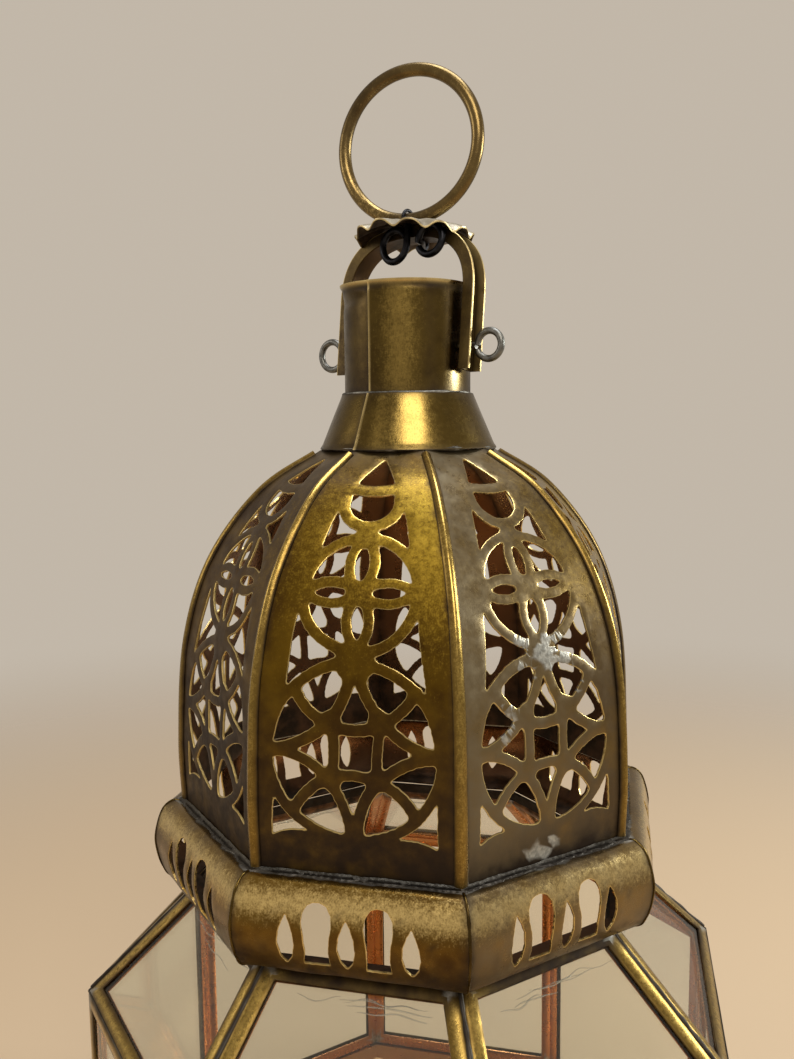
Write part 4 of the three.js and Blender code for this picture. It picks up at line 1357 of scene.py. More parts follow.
@dataclass
class Neck(Assembly):
    """The cone on the dome and the chimney tube with its lap seam and bent lip."""

    sheet: float = 0.8 * MM
    cone_foot: float = 32.3 * MM
    seam: float = math.radians(-112.5)
    lap: float = 0.42 * MM
    steps: int = 144

    def seam_share(self, angle: Array, width: float) -> Array:
        """1 just after the seam, falling to 0 over a width in radians."""
        return held(1 - (angle - self.seam) % (2 * math.pi) / width)

    def before_seam(self, angle: Array, width: float) -> Array:
        """1 just before the seam, falling to 0 over a width in radians."""
        return held(1 - (self.seam - angle) % (2 * math.pi) / width)

    def streak(self, bearing: float, width: float) -> Array:
        """1 along a bearing round the axis, in degrees, falling to 0 at its sides."""
        return hump(np.sin((self.turns - math.radians(bearing)) / 2), 0, width)

    def spun_with_seam(self, profile: Array, swell: Callable[[Array, Array], Array]) -> Shape:
        """Turns an outline about Z with a step at the seam.

        Args:
            profile: The outline's points.
            swell: What is added to the radius.

        Returns:
            The shape.
        """
        step = 2 * math.pi / self.steps
        turn = self.seam + 0.001 + np.arange(self.steps) * step
        angles = np.append(turn, self.seam + 2 * math.pi - 0.001)
        self.turns = np.repeat(angles, len(profile))
        return spun(profile, angles, swell)

    def cone(self) -> None:
        """Makes the cone."""
        low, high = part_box("neck_cone")
        foot = self.cone_foot
        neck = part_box("chimney_tube")[1].x + SEAT_GAP + self.sheet
        ups = np.linspace(0, 1, 26)
        outer = np.stack([foot + (neck - foot) * ups, low.z + (high.z - low.z) * ups], axis=1)
        outer[:2, 0] += 0.25 * MM
        profile = np.concatenate([outer, outer[::-1] - (self.sheet, 0)])

        def swell(angle: Array, z: Array) -> Array:
            """The lap and the marks of the hammer."""
            place = np.stack([np.cos(angle), np.sin(angle), z * 30], axis=1)
            return self.seam_share(angle, 0.5) * self.lap + ripple(place, 61, 0.16 * MM, 0.8)

        shape = self.spun_with_seam(profile, swell)
        z = shape.points[:, 2]
        grime = np.exp(-(z - low.z) / (1.0 * MM)) * 0.8 + np.exp(-(high.z - z) / (0.8 * MM)) * 0.7
        grime += self.before_seam(self.turns, 0.06) * 0.8
        around = np.stack([np.cos(self.turns), np.sin(self.turns), z * 20], axis=1)
        # Painted highlights in two streaks down the front.
        lit = self.streak(-76, 0.11) + 0.7 * self.streak(-98, 0.05)
        glow = held(lit * (1.05 + ripple(around, 63, 0.5, 1.3)) + 0.1)
        shape.masked(grime=held(grime), edge=self.seam_share(self.turns, 0.03), glow=glow)
        self.piece("cone", shape, self.finishes.tube, ["neck_cone"], 50)

    def chimney(self) -> None:
        """Makes the chimney tube."""
        low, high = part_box("chimney_tube")
        ups = np.concatenate([np.linspace(0, 0.8, 24)[:-1], np.linspace(0.8, 1, 22)])
        outer = np.stack([np.full(len(ups), high.x), low.z + (high.z - low.z) * ups], axis=1)
        profile = np.concatenate([outer, outer[::-1] - (self.sheet, 0)])
        profile[len(ups) - 1, 0] -= 0.1 * MM

        def swell(angle: Array, z: Array) -> Array:
            """The lap, the rolled lip, its bent corner and small dents.

            Args:
                angle: The angle about the axis.
                z: The height.

            Returns:
                What is added to the radius.
            """
            drop = (high.z - z) / MM
            lip = hump(drop, 0, 0.9) * 0.5 * MM - hump(drop, 2.2, 0.9) * 0.14 * MM
            short = (self.seam - angle) % (2 * math.pi)
            corner = held(short / 0.12) * hump(short, 0.55, 0.42)
            bent = corner * (held(1 - drop / 5.0) ** 1.4 * 1.4 - hump(drop, 6.0, 2.0) * 0.7)
            place = np.stack([np.cos(angle), np.sin(angle), z * 30], axis=1)
            uneven = ripple(place, 71, 0.12 * MM, 0.7)
            return self.seam_share(angle, 0.45) * self.lap + lip + bent * MM + uneven

        shape = self.spun_with_seam(profile, swell)
        z = shape.points[:, 2]
        drop = (high.z - z) / MM
        # Painted shade in the band under the rolled lip, at the foot, before the seam, over one side, and in
        # two dark streaks round the tube.
        grime = hump(drop, 2.3, 1.1) * 0.65 + held(np.exp(-(z - low.z - 3 * MM) / (2.4 * MM))) * 0.7
        grime += self.before_seam(self.turns, 0.05) * 0.9 + self.before_seam(self.turns, 1.3) ** 0.5 * 0.35
        grime += 0.35 * self.streak(-57, 0.06)
        grime += 0.8 * self.streak(8, 0.10)
        # A bright lip and seam edge: burnished metal, and on the lip a painted highlight too.
        edge = hump(drop, 0, 1.1) + self.seam_share(self.turns, 0.03) * 0.9
        # A painted grey highlight down one side, and a painted golden highlight down the front.
        haze = self.streak(-34, 0.055)
        glow = self.streak(-84, 0.13) * 0.95 + 0.05 + haze * 1.1
        shape.masked(grime=held(grime), edge=held(edge), glow=held(glow), haze=haze)
        self.piece("chimney", shape, self.finishes.tube, ["chimney_tube"], 50)

    def solder_lines(self) -> None:
        """Makes the two soldered joints, at the cone's foot and at its neck."""
        low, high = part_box("neck_cone")
        turn = full_turn(180)
        place = np.stack([np.cos(turn), np.sin(turn)], axis=1)
        for name, radius, z, wire in (
            ("neck_solder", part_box("chimney_tube")[1].x + 0.75 * MM, high.z + 0.1 * MM, 0.42 * MM),
            ("cone_foot_solder", 31.6 * MM, low.z + 0.1 * MM, 0.7 * MM),
        ):
            thick = wire * (1 + ripple(place, 81, 0.55, 1.6))
            heights = z + ripple(place, 82, 0.3 * MM, 1.1)
            path = np.stack([radius * np.cos(turn), radius * np.sin(turn), heights], axis=1)
            shape = tube(path, thick, 10, closed=True).masked(solder=0.45)
            self.piece(name, shape, self.finishes.lead, crease=70)

    def build(self) -> None:
        """Makes the neck."""
        self.cone()
        self.chimney()
        self.solder_lines()


@dataclass
class Bail(Assembly):
    """The strap over the chimney, its wire eyes, the fluted disc, the tie wire and the ring."""

    angle: float = -HALF
    lean: float = 0.1117
    pivot_z: float = 372.8 * MM
    inside: float = 25.0 * MM
    depth: float = 4.4 * MM
    width: float = 8.6 * MM
    wall: float = 0.9 * MM
    foot: float = 8.4 * MM
    shoulder: float = 18.8 * MM
    apex: float = 40.0 * MM
    squareness: float = 2.5
    leg: float = 2.5 * MM
    eye_radius: float = 5.2 * MM
    eye_drop: float = 6.9 * MM
    tie_shift: float = 4.0 * MM
    hoop_x: float = -2.6 * MM
    tie_wire: float = 1.3 * MM
    hoop_wire: float = 0.65 * MM
    disc_sheet: float = 0.7 * MM
    ring_yaw: float = 0.21
    ring_shift: float = -1.85 * MM
    ring_wire: float = 2.35 * MM
    running_gap: float = 0.35 * MM
    eye_wire: float = 1.25 * MM
    clench: float = 20.65 * MM
    flutes: int = 12
    disc_flat: float = 7.0 * MM
    disc_rim: float = 22.0 * MM

    def __post_init__(self) -> None:
        """Works out the heights over the pivot."""
        self.strap_top = self.apex + self.depth
        self.disc_top = self.strap_top + SEAT_GAP + self.disc_sheet

    def upright(self, turn: float = 0.0) -> Matrix:
        """From the pivot's axes to the lantern's, for what doesn't lean."""
        return Matrix.Translation((0, 0, self.pivot_z)) @ Matrix.Rotation(self.angle + turn, 4, "Z")

    def leaning(self) -> Matrix:
        """From the leaning bail's axes, at its pivot, to the lantern's."""
        return self.upright() @ Matrix.Rotation(-self.lean, 4, "X")

    def strap(self) -> None:
        """Makes the channel of the bail."""
        half = self.width / 2
        lip = 0.3 * MM
        floor = [(y * MM, self.wall) for y in (2.9, 1.4, 0.0, -1.4, -2.9)]
        section = np.array([
            (-half + lip, 0), (-half / 2, 0), (0, 0), (half / 2, 0), (half - lip, 0), (half, lip),
            (half, self.depth / 2), (half, self.depth - lip * 1.6), (half, self.depth - lip / 2),
            (half - lip / 2, self.depth), (half - self.wall, self.depth),
            (half - self.wall, self.wall + lip), *floor, (self.wall - half, self.wall + lip),
            (self.wall - half, self.depth), (lip / 2 - half, self.depth), (-half, self.depth - lip / 2),
            (-half, self.depth - lip * 1.6), (-half, self.depth / 2), (-half, lip)])
        power = 2 / self.squareness
        arch = np.linspace(0, math.pi, 73)
        heights = (-self.foot, -self.foot + lip, -self.foot * 0.3, self.shoulder * 0.5)
        rings = [[(self.inside + out, y, height) for y, out in section] for height in heights]
        for a in arch:
            c, s = math.cos(a), math.sin(a)
            ring = []
            for y, out in section:
                x = math.copysign((self.inside + out) * abs(c) ** power, c)
                ring.append((x, y, self.shoulder + (self.apex - self.shoulder + out) * abs(s) ** power))
            rings.append(ring)
        rings += [[(-self.inside - out, y, height) for y, out in section] for height in heights[::-1]]
        shape = lofted(np.array(rings))
        shape.points[:, 1] += ripple(shape.points, 85, 0.1 * MM, 25.0)
        outs = np.tile(section[:, 1], len(rings))
        sides = np.tile(np.abs(section[:, 0]), len(rings))
        middle = hump(shape.points[:, 0], 0, 11 * MM) * (shape.points[:, 2] > self.shoulder)
        channel = (sides < half - self.wall / 2) & (outs > 0)
        # Painted shade over the channel, darkest on top under the disc; a faint painted highlight on the
        # outer sides; painted warm reflection underneath.
        shape.masked(
            edge=held((outs - self.depth + lip) / lip) * 0.9 * (1 - middle),
            grime=held(np.where(channel, 0.6, 0.55) + middle * 0.95),
            glow=np.where(sides > half - lip * 1.5, 0.25, 0.1), inside=np.where(outs <= 0, 0.5, 0.0))
        self.piece("bail_channel", shape.moved(self.leaning()), self.finishes.tube,
                   ["bail_strap"], 40, Body.BAIL)

    def eye(self, name: str, turn: float, radius: float, centre: float) -> None:
        """Makes one side eye: a loop, its shank and the end clenched inside the chimney.

        Args:
            name: The piece's name.
            turn: Its turn about the lantern's axis, from the right side.
            radius: The loop's radius, to the middle of the wire.
            centre: The loop's middle, from the lantern's axis.
        """
        inner, wire = self.clench, self.eye_wire
        bent = inner + 2.2 * MM
        start = math.radians(195)
        loop = [(centre + radius * math.cos(a), 0.25 * MM * math.sin(a * 0.5), radius * math.sin(a))
                for a in np.linspace(start - 2 * math.pi + 0.12, math.pi - 0.02, 44)]
        run = centre - radius - bent
        shank = [(bent + run * t, 0, 0) for t in np.linspace(0, 0.96, 10)]
        clenched = ((0.2, -2.2), (0.15, -1.0), (0.7, -0.15))
        bend = [(inner + x * MM, 0, z * MM) for x, z in clenched]
        wires = [tube(np.array(loop), wire), tube(smooth_line(bend + shank, 4), wire)]
        shape = merged(wires).masked(glow=0.3)
        node = name.replace("wire", "bail")
        self.piece(name, shape.moved(self.upright(turn)), self.finishes.grey, [node], 60)

    def disc(self) -> None:
        """Makes the fluted disc, a thin sheet with a drooping scalloped rim."""
        radii = np.linspace(0.02, 1, 30) * self.disc_rim
        turn = full_turn(216)
        rr, tt = np.meshgrid(radii, turn, indexing="ij")
        share = held((rr - self.disc_flat) / (self.disc_rim - self.disc_flat))
        scallop = np.cos(self.flutes * tt)
        around = np.stack([np.cos(tt), np.sin(tt)], -1).reshape(-1, 2)
        droop = 2.65 + 0.75 * np.sin(tt) + 1.75 * np.cos(tt) ** 2
        z = 0.5 * MM * np.sin(math.pi * np.minimum(1, 2 * share)) - droop * MM * share ** 2
        z = z + 1.2 * MM * share ** 1.5 * (scallop - 0.18 * np.cos(2 * self.flutes * tt))
        z = z + share * ripple(around, 91, 0.7 * MM, 0.5).reshape(z.shape)
        out = rr * (1 - 0.02 * share * (1 - scallop))
        upper = np.stack([out * np.cos(tt), out * np.sin(tt), z], axis=-1)
        lower = upper - (0, 0, 0.62 * MM)
        rings = np.concatenate([upper, lower[::-1]]).transpose(1, 0, 2)
        shape = lofted(rings, closed=True)
        full = np.concatenate([share, share[::-1]]).T.ravel()
        under = np.concatenate([np.zeros_like(share), np.ones_like(share)]).T.ravel()
        crest = held(0.35 + 0.45 * np.cos(self.flutes * np.repeat(turn, rings.shape[1])))
        # Painted shade on the underside and in the troughs, painted highlights on the crests, and painted
        # warm reflection underneath.
        shape.masked(
            edge=held((full - 0.95) / 0.05) * 0.5, grime=held(under * 0.95 + (1 - crest) * 0.12 * full),
            glow=crest * (1 - under) * 0.6, inside=under * 0.6)
        level = Matrix.Translation((0, 0, self.disc_top + 0.2 * MM)) @ Matrix.Rotation(self.lean, 4, "X")
        self.piece("fluted_disc", shape.moved(self.leaning() @ level), self.finishes.tarnished,
                   ["crown_washer"], 45, Body.BAIL)

    def tie(self) -> None:
        """Makes the tie wire: over the ring, round the strap, ends curled into eyes in front."""
        front = self.width / 2 + self.running_gap + self.tie_wire
        eye_z = self.strap_top - self.eye_drop
        under = self.apex - 2 * self.running_gap - self.tie_wire
        ring_z = self.disc_top + SEAT_GAP + self.ring_wire
        hoop = self.ring_wire + self.running_gap + self.hoop_wire
        hoop_y = (self.hoop_x - self.ring_shift) * math.tan(self.ring_yaw)
        curl = 2 * math.pi * 0.93 * np.linspace(1, 0, 34)[:-1]
        centre = self.leg + self.eye_radius
        left, right = self.tie_shift - self.leg, self.tie_shift + self.leg
        middle = (self.tie_wire + self.hoop_wire) / 2
        path, radii = [], []

        def add(points: Sequence[tuple[float, float, float]], wire: float = self.tie_wire) -> None:
            """Puts points on the end of the wire."""
            path.extend(points)
            radii.extend([wire] * len(points))

        add([(self.tie_shift - centre + self.eye_radius * math.cos(a), -front - 0.3 * MM * math.sin(a / 2),
              eye_z - self.eye_radius * math.sin(a) * (1.0 if math.sin(a) < 0 else 1.2)) for a in curl])
        add([(left, -front, z) for z in np.linspace(eye_z, self.disc_top - 1 * MM, 6)])
        add([(left, -front, self.disc_top + 0.4 * MM)], middle)
        add([(self.hoop_x, hoop_y + hoop * math.cos(a), ring_z + hoop * math.sin(a))
             for a in np.linspace(math.pi, 0, 19)], self.hoop_wire)
        add([(left, front, self.disc_top + 0.4 * MM)], middle)
        add([(left, front, z) for z in np.linspace(self.disc_top - 1 * MM, under + 1.4 * MM, 7)])
        add([(left, front - 1.4 * MM, under)])
        add([(x, y, under) for x, y in zip(np.linspace(left, right, 7), np.linspace(3.9 * MM, -3.9 * MM, 7))])
        add([(right, 1.4 * MM - front, under), (right, -front, min(under, eye_z) + 0.2 * MM)])
        add([(self.tie_shift + centre - self.eye_radius * math.cos(a), -front - 0.3 * MM * math.sin(a / 2),
              eye_z + self.eye_radius * math.sin(a)) for a in curl[::-1][1:]])
        shape = tube(np.array(path), np.array(radii)).moved(self.leaning())
        self.piece("tie_wire", shape, self.finishes.black, ["ring_tie_wire"], 60, Body.BAIL)

    def ring(self) -> None:
        """Makes the hanging ring, bent by hand from round wire with a closed butt joint."""
        low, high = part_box("hanging_ring")
        radius = (high.z - low.z) / 2 - self.ring_wire
        sides = 22
        turn = full_turn(160)
        place = np.stack([np.cos(turn), np.sin(turn)], axis=1)
        out = radius + ripple(place, 95, 0.16 * MM, 0.35)
        path = np.stack([out * np.cos(turn), np.zeros(len(turn)), out * np.sin(turn)], axis=1)
        # Painted highlights on two sides; darker at the bottom, and painted shade along one side.
        glow = 0.12 + 0.3 * held(np.cos(turn + 2.3)) ** 2
        dark = hump(turn, 1.5 * math.pi, 0.3) * 0.7
        dark += 0.35 * held(np.cos(turn - math.radians(140))) ** 2
        shape = tube(path, self.ring_wire, sides, closed=True)
        shape.masked(glow=np.repeat(glow, sides), grime=np.repeat(held(dark), sides))
        middle = Matrix.Translation((low + high) / 2)
        shape = shape.moved(middle @ Matrix.Rotation(self.angle + self.ring_yaw, 4, "Z"))
        self.piece("wire_ring", shape, self.finishes.wire, ["hanging_ring"], 60, Body.RING)

    def build(self) -> None:
        """Makes the bail and what hangs on it."""
        self.strap()
        self.eye("wire_eye_right", 0.0, 4.8 * MM, 34.6 * MM)
        self.eye("wire_eye_left", math.pi, 5.3 * MM, 35.6 * MM)
        self.disc()
        self.tie()
        self.ring()


STRIP_DEPTH = 3.6 * MM
STRIP_GAP = 0.35 * MM


@dataclass
class Pane:
    """One pane's plane in face 0, and its outline with each side set in."""

    low_radius: float
    low_z: float
    high_radius: float
    high_z: float

    def __post_init__(self) -> None:
        """Works out the plane."""
        self.low = np.array([0, -self.low_radius * FLAT, self.low_z])
        high = np.array([0, -self.high_radius * FLAT, self.high_z])
        self.length = float(np.linalg.norm(high - self.low))
        self.up = (high - self.low) / self.length
        self.across = np.array([1.0, 0, 0])
        self.inward = -np.cross(self.across, self.up)

    def corners(self, side: float, foot: float, head: float) -> Array:
        """The four corners with the sides, the foot and the head set in.

        Args:
            side: How far the sides are set in.
            foot: The same for the foot.
            head: The same for the head.

        Returns:
            The corners.
        """
        half = self.low_radius * math.sin(HALF)
        slope = (half - self.high_radius * math.sin(HALF)) / self.length
        inset = side * math.hypot(1, slope)
        top = self.length - head
        low_half = half - slope * foot - inset
        high_half = half - slope * top - inset
        return np.array([(-low_half, foot), (low_half, foot), (high_half, top), (-high_half, top)])

    def point(self, flat: Array, depth: Array) -> Array:
        """Points of the pane's plane, set in by a depth."""
        return (self.low + np.outer(flat[:, 0], self.across) + np.outer(flat[:, 1], self.up)
                + np.outer(depth, self.inward))


@dataclass
class StripSection:
    """The folded strip that holds a pane: across from the pane's edge, and in from its face."""

    width: float = 5.4 * MM
    depth: float = STRIP_DEPTH

    def outline(self) -> Array:
        """The section's outline, a rounded channel open toward the pane.

        Returns:
            The outline.
        """
        w, d = self.width / (4.2 * MM), self.depth / (3.6 * MM)
        half = [(4.2, 0.6), (4.05, 0.2), (3.6, 0.02), (2.9, -0.12), (2.1, -0.17), (1.3, -0.12),
                (0.6, 0.06), (0.2, 0.35), (0.0, 0.8)]
        back = [(x, 3.6 - y) for x, y in half[::-1]]
        groove = [(4.1, 2.74), (0.8, 2.74), (0.8, 0.86), (4.1, 0.86)]
        return np.array([(x * w, y * d) for x, y in half + back + groove]) * MM


def strip_frame(
    pane: Pane, seed: int, side: float = STRIP_GAP, foot: float = 0.0, head: float = 0.0,
    head_shadow: float = 0.0,
) -> Shape:
    """The folded strips round one pane, mitred at its corners.

    Args:
        pane: The pane.
        seed: Which unevenness.
        side: How far the sides start from the pane's edges.
        foot: The same for the foot.
        head: The same for the head.
        head_shadow: The painted shadow on the strip at the head.

    Returns:
        The shape.
    """
    section = StripSection().outline()
    steps = 7
    rings = []
    spans = []
    for corner in range(4):
        for step in range(steps):
            ring = []
            share = step / steps
            for inset, depth in section:
                c = pane.corners(side + inset, foot + inset, head + inset)
                flat = c[corner] * (1 - share) + c[(corner + 1) % 4] * share
                ring.append((*flat, depth))
            rings.append(np.array(ring))
            spans.append(min(share, 1 - share))
    stack = np.array(rings)
    middle = stack[:, :, :2].mean(axis=1)
    swing = ripple(middle, seed, 0.1 * MM, 9.0) * (np.array(spans) > 0)
    stack[:, :, 2] += swing[:, None]
    flat = stack.reshape(-1, 3)
    points = pane.point(flat[:, :2], flat[:, 2])
    shape = lofted(points.reshape(len(rings), len(section), 3), closed=True)
    depth = section[:, 1] / MM
    inset = section[:, 0] / StripSection.width * 4.2
    outer = depth < 1.0
    # Darker at the strip's two edges and at the corners; a painted highlight along its ridge; painted shadow
    # at the head where asked; painted warm reflection on the inner side.
    grime = np.exp(-inset / 0.6) * 0.95 * outer + np.exp(-np.abs(inset - 4.2) / 0.4) * 0.7 * outer
    glow = hump(inset, 2.1, 1.1) * (depth < 0.5)
    near = np.exp(-np.array(spans) * 30)[:, None] * 0.8
    head_shadow_rings = (np.arange(len(rings)) // steps == 2)[:, None] * head_shadow
    return shape.masked(
        grime=held(grime + near * 0.4 + head_shadow_rings), glow=glow * (1 - head_shadow_rings),
        solder=near * 0.7 * (inset < 3.4), inside=np.tile((depth > 1.0) * 1.0, len(rings)))


def solder_run(start: Array, end: Array, seed: int, wire: float = 0.95 * MM) -> Shape:
    """An uneven run of solder between two points.

    Args:
        start: One end.
        end: The other end.
        seed: Which unevenness.
        wire: Its radius.

    Returns:
        The shape.
    """
    share = np.linspace(0, 1, 40)
    path = np.outer(1 - share, start) + np.outer(share, end)
    thick = wire * (1 + ripple(share[:, None], seed, 0.3, 6.0))
    return tube(path, thick, 10).masked(grime=0.35, solder=0.3)


@dataclass
class Glazing(Assembly):
    """The leaning and upright panes in their strips, and the solder at the corners."""

    body_radius: float = 123.1 * MM
    shoulder_radius: float = 81.6 * MM
    shoulder_rise: float = 39.0 * MM
    solder_inset: float = 1.75 * MM
    door_rail: float = 4.2 * MM
    door_side: float = 1.75 * MM
    knuckle_radius: float = 2.1 * MM
    knuckle_bore: float = 1.45 * MM
    knuckle: float = 4 * MM
    knuckle_clearance: float = 0.9 * MM
    pin_radius: float = 1.15 * MM
    glass_face: float = 2.7 * MM

    def __post_init__(self) -> None:
        """Takes the heights from the frame."""
        low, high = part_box("upper_glazing_frame")
        self.ring_z = low.z
        self.shoulder_z = low.z + self.shoulder_rise
        self.neck_z = high.z
        self.foot_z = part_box("lower_glazing_frame")[0].z
        self.upper = Pane(self.body_radius, self.ring_z, self.shoulder_radius, self.shoulder_z)
        self.lower = Pane(self.body_radius, self.foot_z, self.body_radius, self.ring_z - SEAT_GAP)

    def corner_runs(self, start: tuple[float, float], end: tuple[float, float], seed: int) -> list[Shape]:
        """Makes runs of solder up the corners.

        Args:
            start: The corner's radius and height at the foot.
            end: The same at the head.
            seed: Which unevenness.

        Returns:
            One run for each corner.
        """
        ends = [np.array([0, self.solder_inset - radius, z]) for radius, z in (start, end)]
        return [solder_run(*ends, seed + corner).turned(2 * HALF * (corner - 0.5)) for corner in range(SIDES)]

    def upper_frame(self) -> None:
        """Makes the strips, solder and neck above the widest ring."""
        # The upper strips carry a painted shadow at the head, under the collar.
        strips = [strip_frame(self.upper, 600 + face, head_shadow=1.0).turned(2 * HALF * face)
                  for face in range(SIDES)]
        self.piece("upper_strips", merged(strips), self.finishes.worn, ["upper_glazing_frame"], 42)
        foot, head = (self.body_radius, self.ring_z + 1 * MM), (self.shoulder_radius, self.shoulder_z)
        runs = self.corner_runs(foot, head, 620)
        self.piece("upper_corner_solder", merged(runs), self.finishes.lead, crease=60)
        wall = STRIP_DEPTH / 2
        outer = self.shoulder_radius
        profile = [(outer, self.shoulder_z - 0.9 * MM), (outer + 0.2 * MM, self.shoulder_z + 1 * MM),
                   (outer, self.neck_z - 0.4 * MM), (outer - 0.3 * MM, self.neck_z),
                   (outer - wall, self.neck_z), (outer - wall, self.shoulder_z - STRIP_DEPTH * 0.8)]
        # Darkened nearly black: dirt on the rail and painted shadow under the collar's roll.
        band = octagon(profile, 8, 640).masked(grime=0.9)
        self.piece("shoulder_band", band, self.finishes.lead, crease=40)

    def lower_frame(self) -> None:
        """Makes the strips, solder and the door's surround below the widest ring."""
        strips = [strip_frame(self.lower, 660 + face).turned(2 * HALF * face) for face in range(1, SIDES)]
        self.piece("lower_strips", merged(strips), self.finishes.worn, ["lower_glazing_frame"], 42)
        foot, head = (self.body_radius, self.foot_z), (self.body_radius, self.ring_z - 1 * MM)
        runs = self.corner_runs(foot, head, 680)
        ring_section = ((1.0, -0.75), (0.1, -0.25), (0.3, 0.35), (1.6, 0.4))
        ring_line = [(self.body_radius - inset * MM, self.ring_z + up * MM) for inset, up in ring_section]
        runs.append(octagon(ring_line, 24, 699, 0.12 * MM).masked(solder=0.3))
        self.piece("lower_corner_solder", merged(runs), self.finishes.lead, crease=60)
        self.door_surround()

    def hinge_barrel(self, low: float, high: float) -> Shape:
        """A short tube round the door's hinge pin, between two heights.

        Args:
            low: Its foot.
            high: Its head.

        Returns:
            The shape.
        """
        pin_low, pin_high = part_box("door_hinge_pin")
        centre = (pin_low + pin_high) / 2
        outer, inner, soft = self.knuckle_radius, self.knuckle_bore, 0.2 * MM
        profile = np.array([
            (outer - soft, low), (outer, low + soft), (outer, high - soft), (outer - soft, high),
            (inner, high), (inner, low)])
        place = Matrix.Translation((centre.x, centre.y, 0))
        return spun(profile, full_turn(28)).moved(place).masked(grime=0.15)

    def door_surround(self) -> None:
        """Makes the plain strips over and under the door and the lugs of its hinge."""
        pane = self.lower
        shapes = []
        for foot, head in ((0.0, pane.length - self.door_rail), (pane.length - self.door_rail, 0.0)):
            c = pane.corners(STRIP_GAP, foot, head)
            soft = 0.3 * MM
            lift = soft / self.door_rail
            section = [(0, soft), (0, STRIP_DEPTH - soft), (lift, STRIP_DEPTH), (1, STRIP_DEPTH),
                       (1, soft), (1 - lift, 0), (lift, 0)]
            rings = []
            for share in np.linspace(0, 1, 16):
                left = c[0] * (1 - share) + c[1] * share
                right = c[3] * (1 - share) + c[2] * share
                ring = np.array([(*(left * (1 - rise) + right * rise), depth) for rise, depth in section])
                rings.append(pane.point(ring[:, :2], ring[:, 2]))
            shapes.append(lofted(np.array(rings)).masked(grime=0.2))
        for low in (self.foot_z, self.ring_z - SEAT_GAP - self.knuckle):
            shapes.append(self.hinge_barrel(low, low + self.knuckle))
        self.piece("door_surround", merged(shapes), self.finishes.worn, crease=40)

    def glass(self, record: dict) -> None:
        """Gives the panes their glass, and the glue along their heads.

        Args:
            record: What the frame's load gave.
        """
        for name in record["nodes"]:
            if "_glass" in name:
                pane = record["nodes"][name]
                pane.data.materials.clear()
                pane.data.materials.append(self.finishes.get(self.finishes.glass))
        for face in range(SIDES):
            self.glue(face)

    def glue(self, face: int) -> None:
        """Makes the clear ridges of glue inside the head of one leaning pane.

        Args:
            face: Which pane.
        """
        rng = np.random.default_rng(720 + face)
        ridges = []
        for _ in range(5):
            start = rng.uniform(-0.026, 0.004)
            span = rng.uniform(0.012, 0.034)
            base = self.upper.length - rng.uniform(6.0, 11.5) * MM
            across = np.linspace(start, min(start + span, 0.029), 34)
            up = base + ripple(across[:, None], int(rng.integers(1e6)), 1.3 * MM, 60.0)
            path = self.upper.point(np.stack([across, up], axis=1), np.full(34, self.glass_face + 0.16 * MM))
            wire = rng.uniform(0.14, 0.3) * MM * np.sin(np.linspace(0.15, math.pi - 0.15, 34)) ** 0.5
            ridges.append(tube(path, wire, 8).masked(glue=1.0))
        shape = merged(ridges).turned(2 * HALF * face)
        self.piece(f"pane_glue_{face + 1}", shape, self.finishes.glass, crease=60)

    def door(self) -> None:
        """Makes the door's own strips, its hinge barrel, pin and turn button."""
        rail = self.door_rail + 0.6 * MM
        frame = strip_frame(self.lower, 740, self.door_side, rail, rail)
        inset = self.knuckle + self.knuckle_clearance
        hinge = self.hinge_barrel(self.foot_z + inset, self.ring_z - SEAT_GAP - inset)
        self.piece("door_strips", merged([frame, hinge]), self.finishes.worn, ["door_frame"], 42, Body.DOOR)
        low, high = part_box("door_hinge_pin")
        centre = (low + high) / 2
        line = np.array([(centre.x, centre.y, z) for z in np.linspace(low.z, high.z, 8)])
        self.piece("hinge_pin", tube(line, self.pin_radius, 20), self.finishes.sheet, ["door_hinge_pin"], 50)
        self.latch()

    def latch(self) -> None:
        """Makes the turn button with its riveted pivot."""
        low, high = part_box("door_latch")
        z = (low.z + high.z) / 2
        half = (high.z - low.z) / 2
        face_y = low.y
        back = face_y + 1.2 * MM
        left, right = low.x + half, high.x - half
        turn = np.linspace(math.pi / 2, 3 * math.pi / 2, 14)
        outline = [(left + half * math.cos(a), z + half * math.sin(a)) for a in turn]
        outline += [(right - half * 0.9 * math.cos(a), z - half * 0.9 * math.sin(a)) for a in turn]
        outline = np.array(outline)
        centre = outline.mean(axis=0)
        rings = []
        for inset, y in ((0.25, face_y), (0.06, face_y + 0.14 * MM), (0.0, face_y + 0.4 * MM), (0.0, back)):
            ring = centre + (outline - centre) * (1 - inset * 0.12)
            rings.append([(x, y, h) for x, h in ring])
        bar = lofted(np.array(rings)).masked(glow=0.4)
        rivet = ((0.7, -0.24), (1.25, 0.0), (1.4, 0.25))
        head = np.array([[(r * MM * math.cos(a), face_y + y * MM, z + r * MM * math.sin(a))
                          for a in full_turn(20)] for r, y in rivet])
        pivot = tube(np.array([(0, y, z) for y in np.linspace(back - 0.2 * MM, high.y, 5)]), 0.9 * MM, 16)
        shape = merged([bar, lofted(head).masked(edge=0.4), pivot])
        self.piece("turn_button", shape, self.finishes.worn, ["door_latch"], 45, Body.LATCH)

    def build(self, record: dict) -> None:
        """Makes the glazing and the door.

        Args:
            record: What the frame's load gave.
        """
        self.upper_frame()
        self.lower_frame()
        self.door()
        self.glass(record)


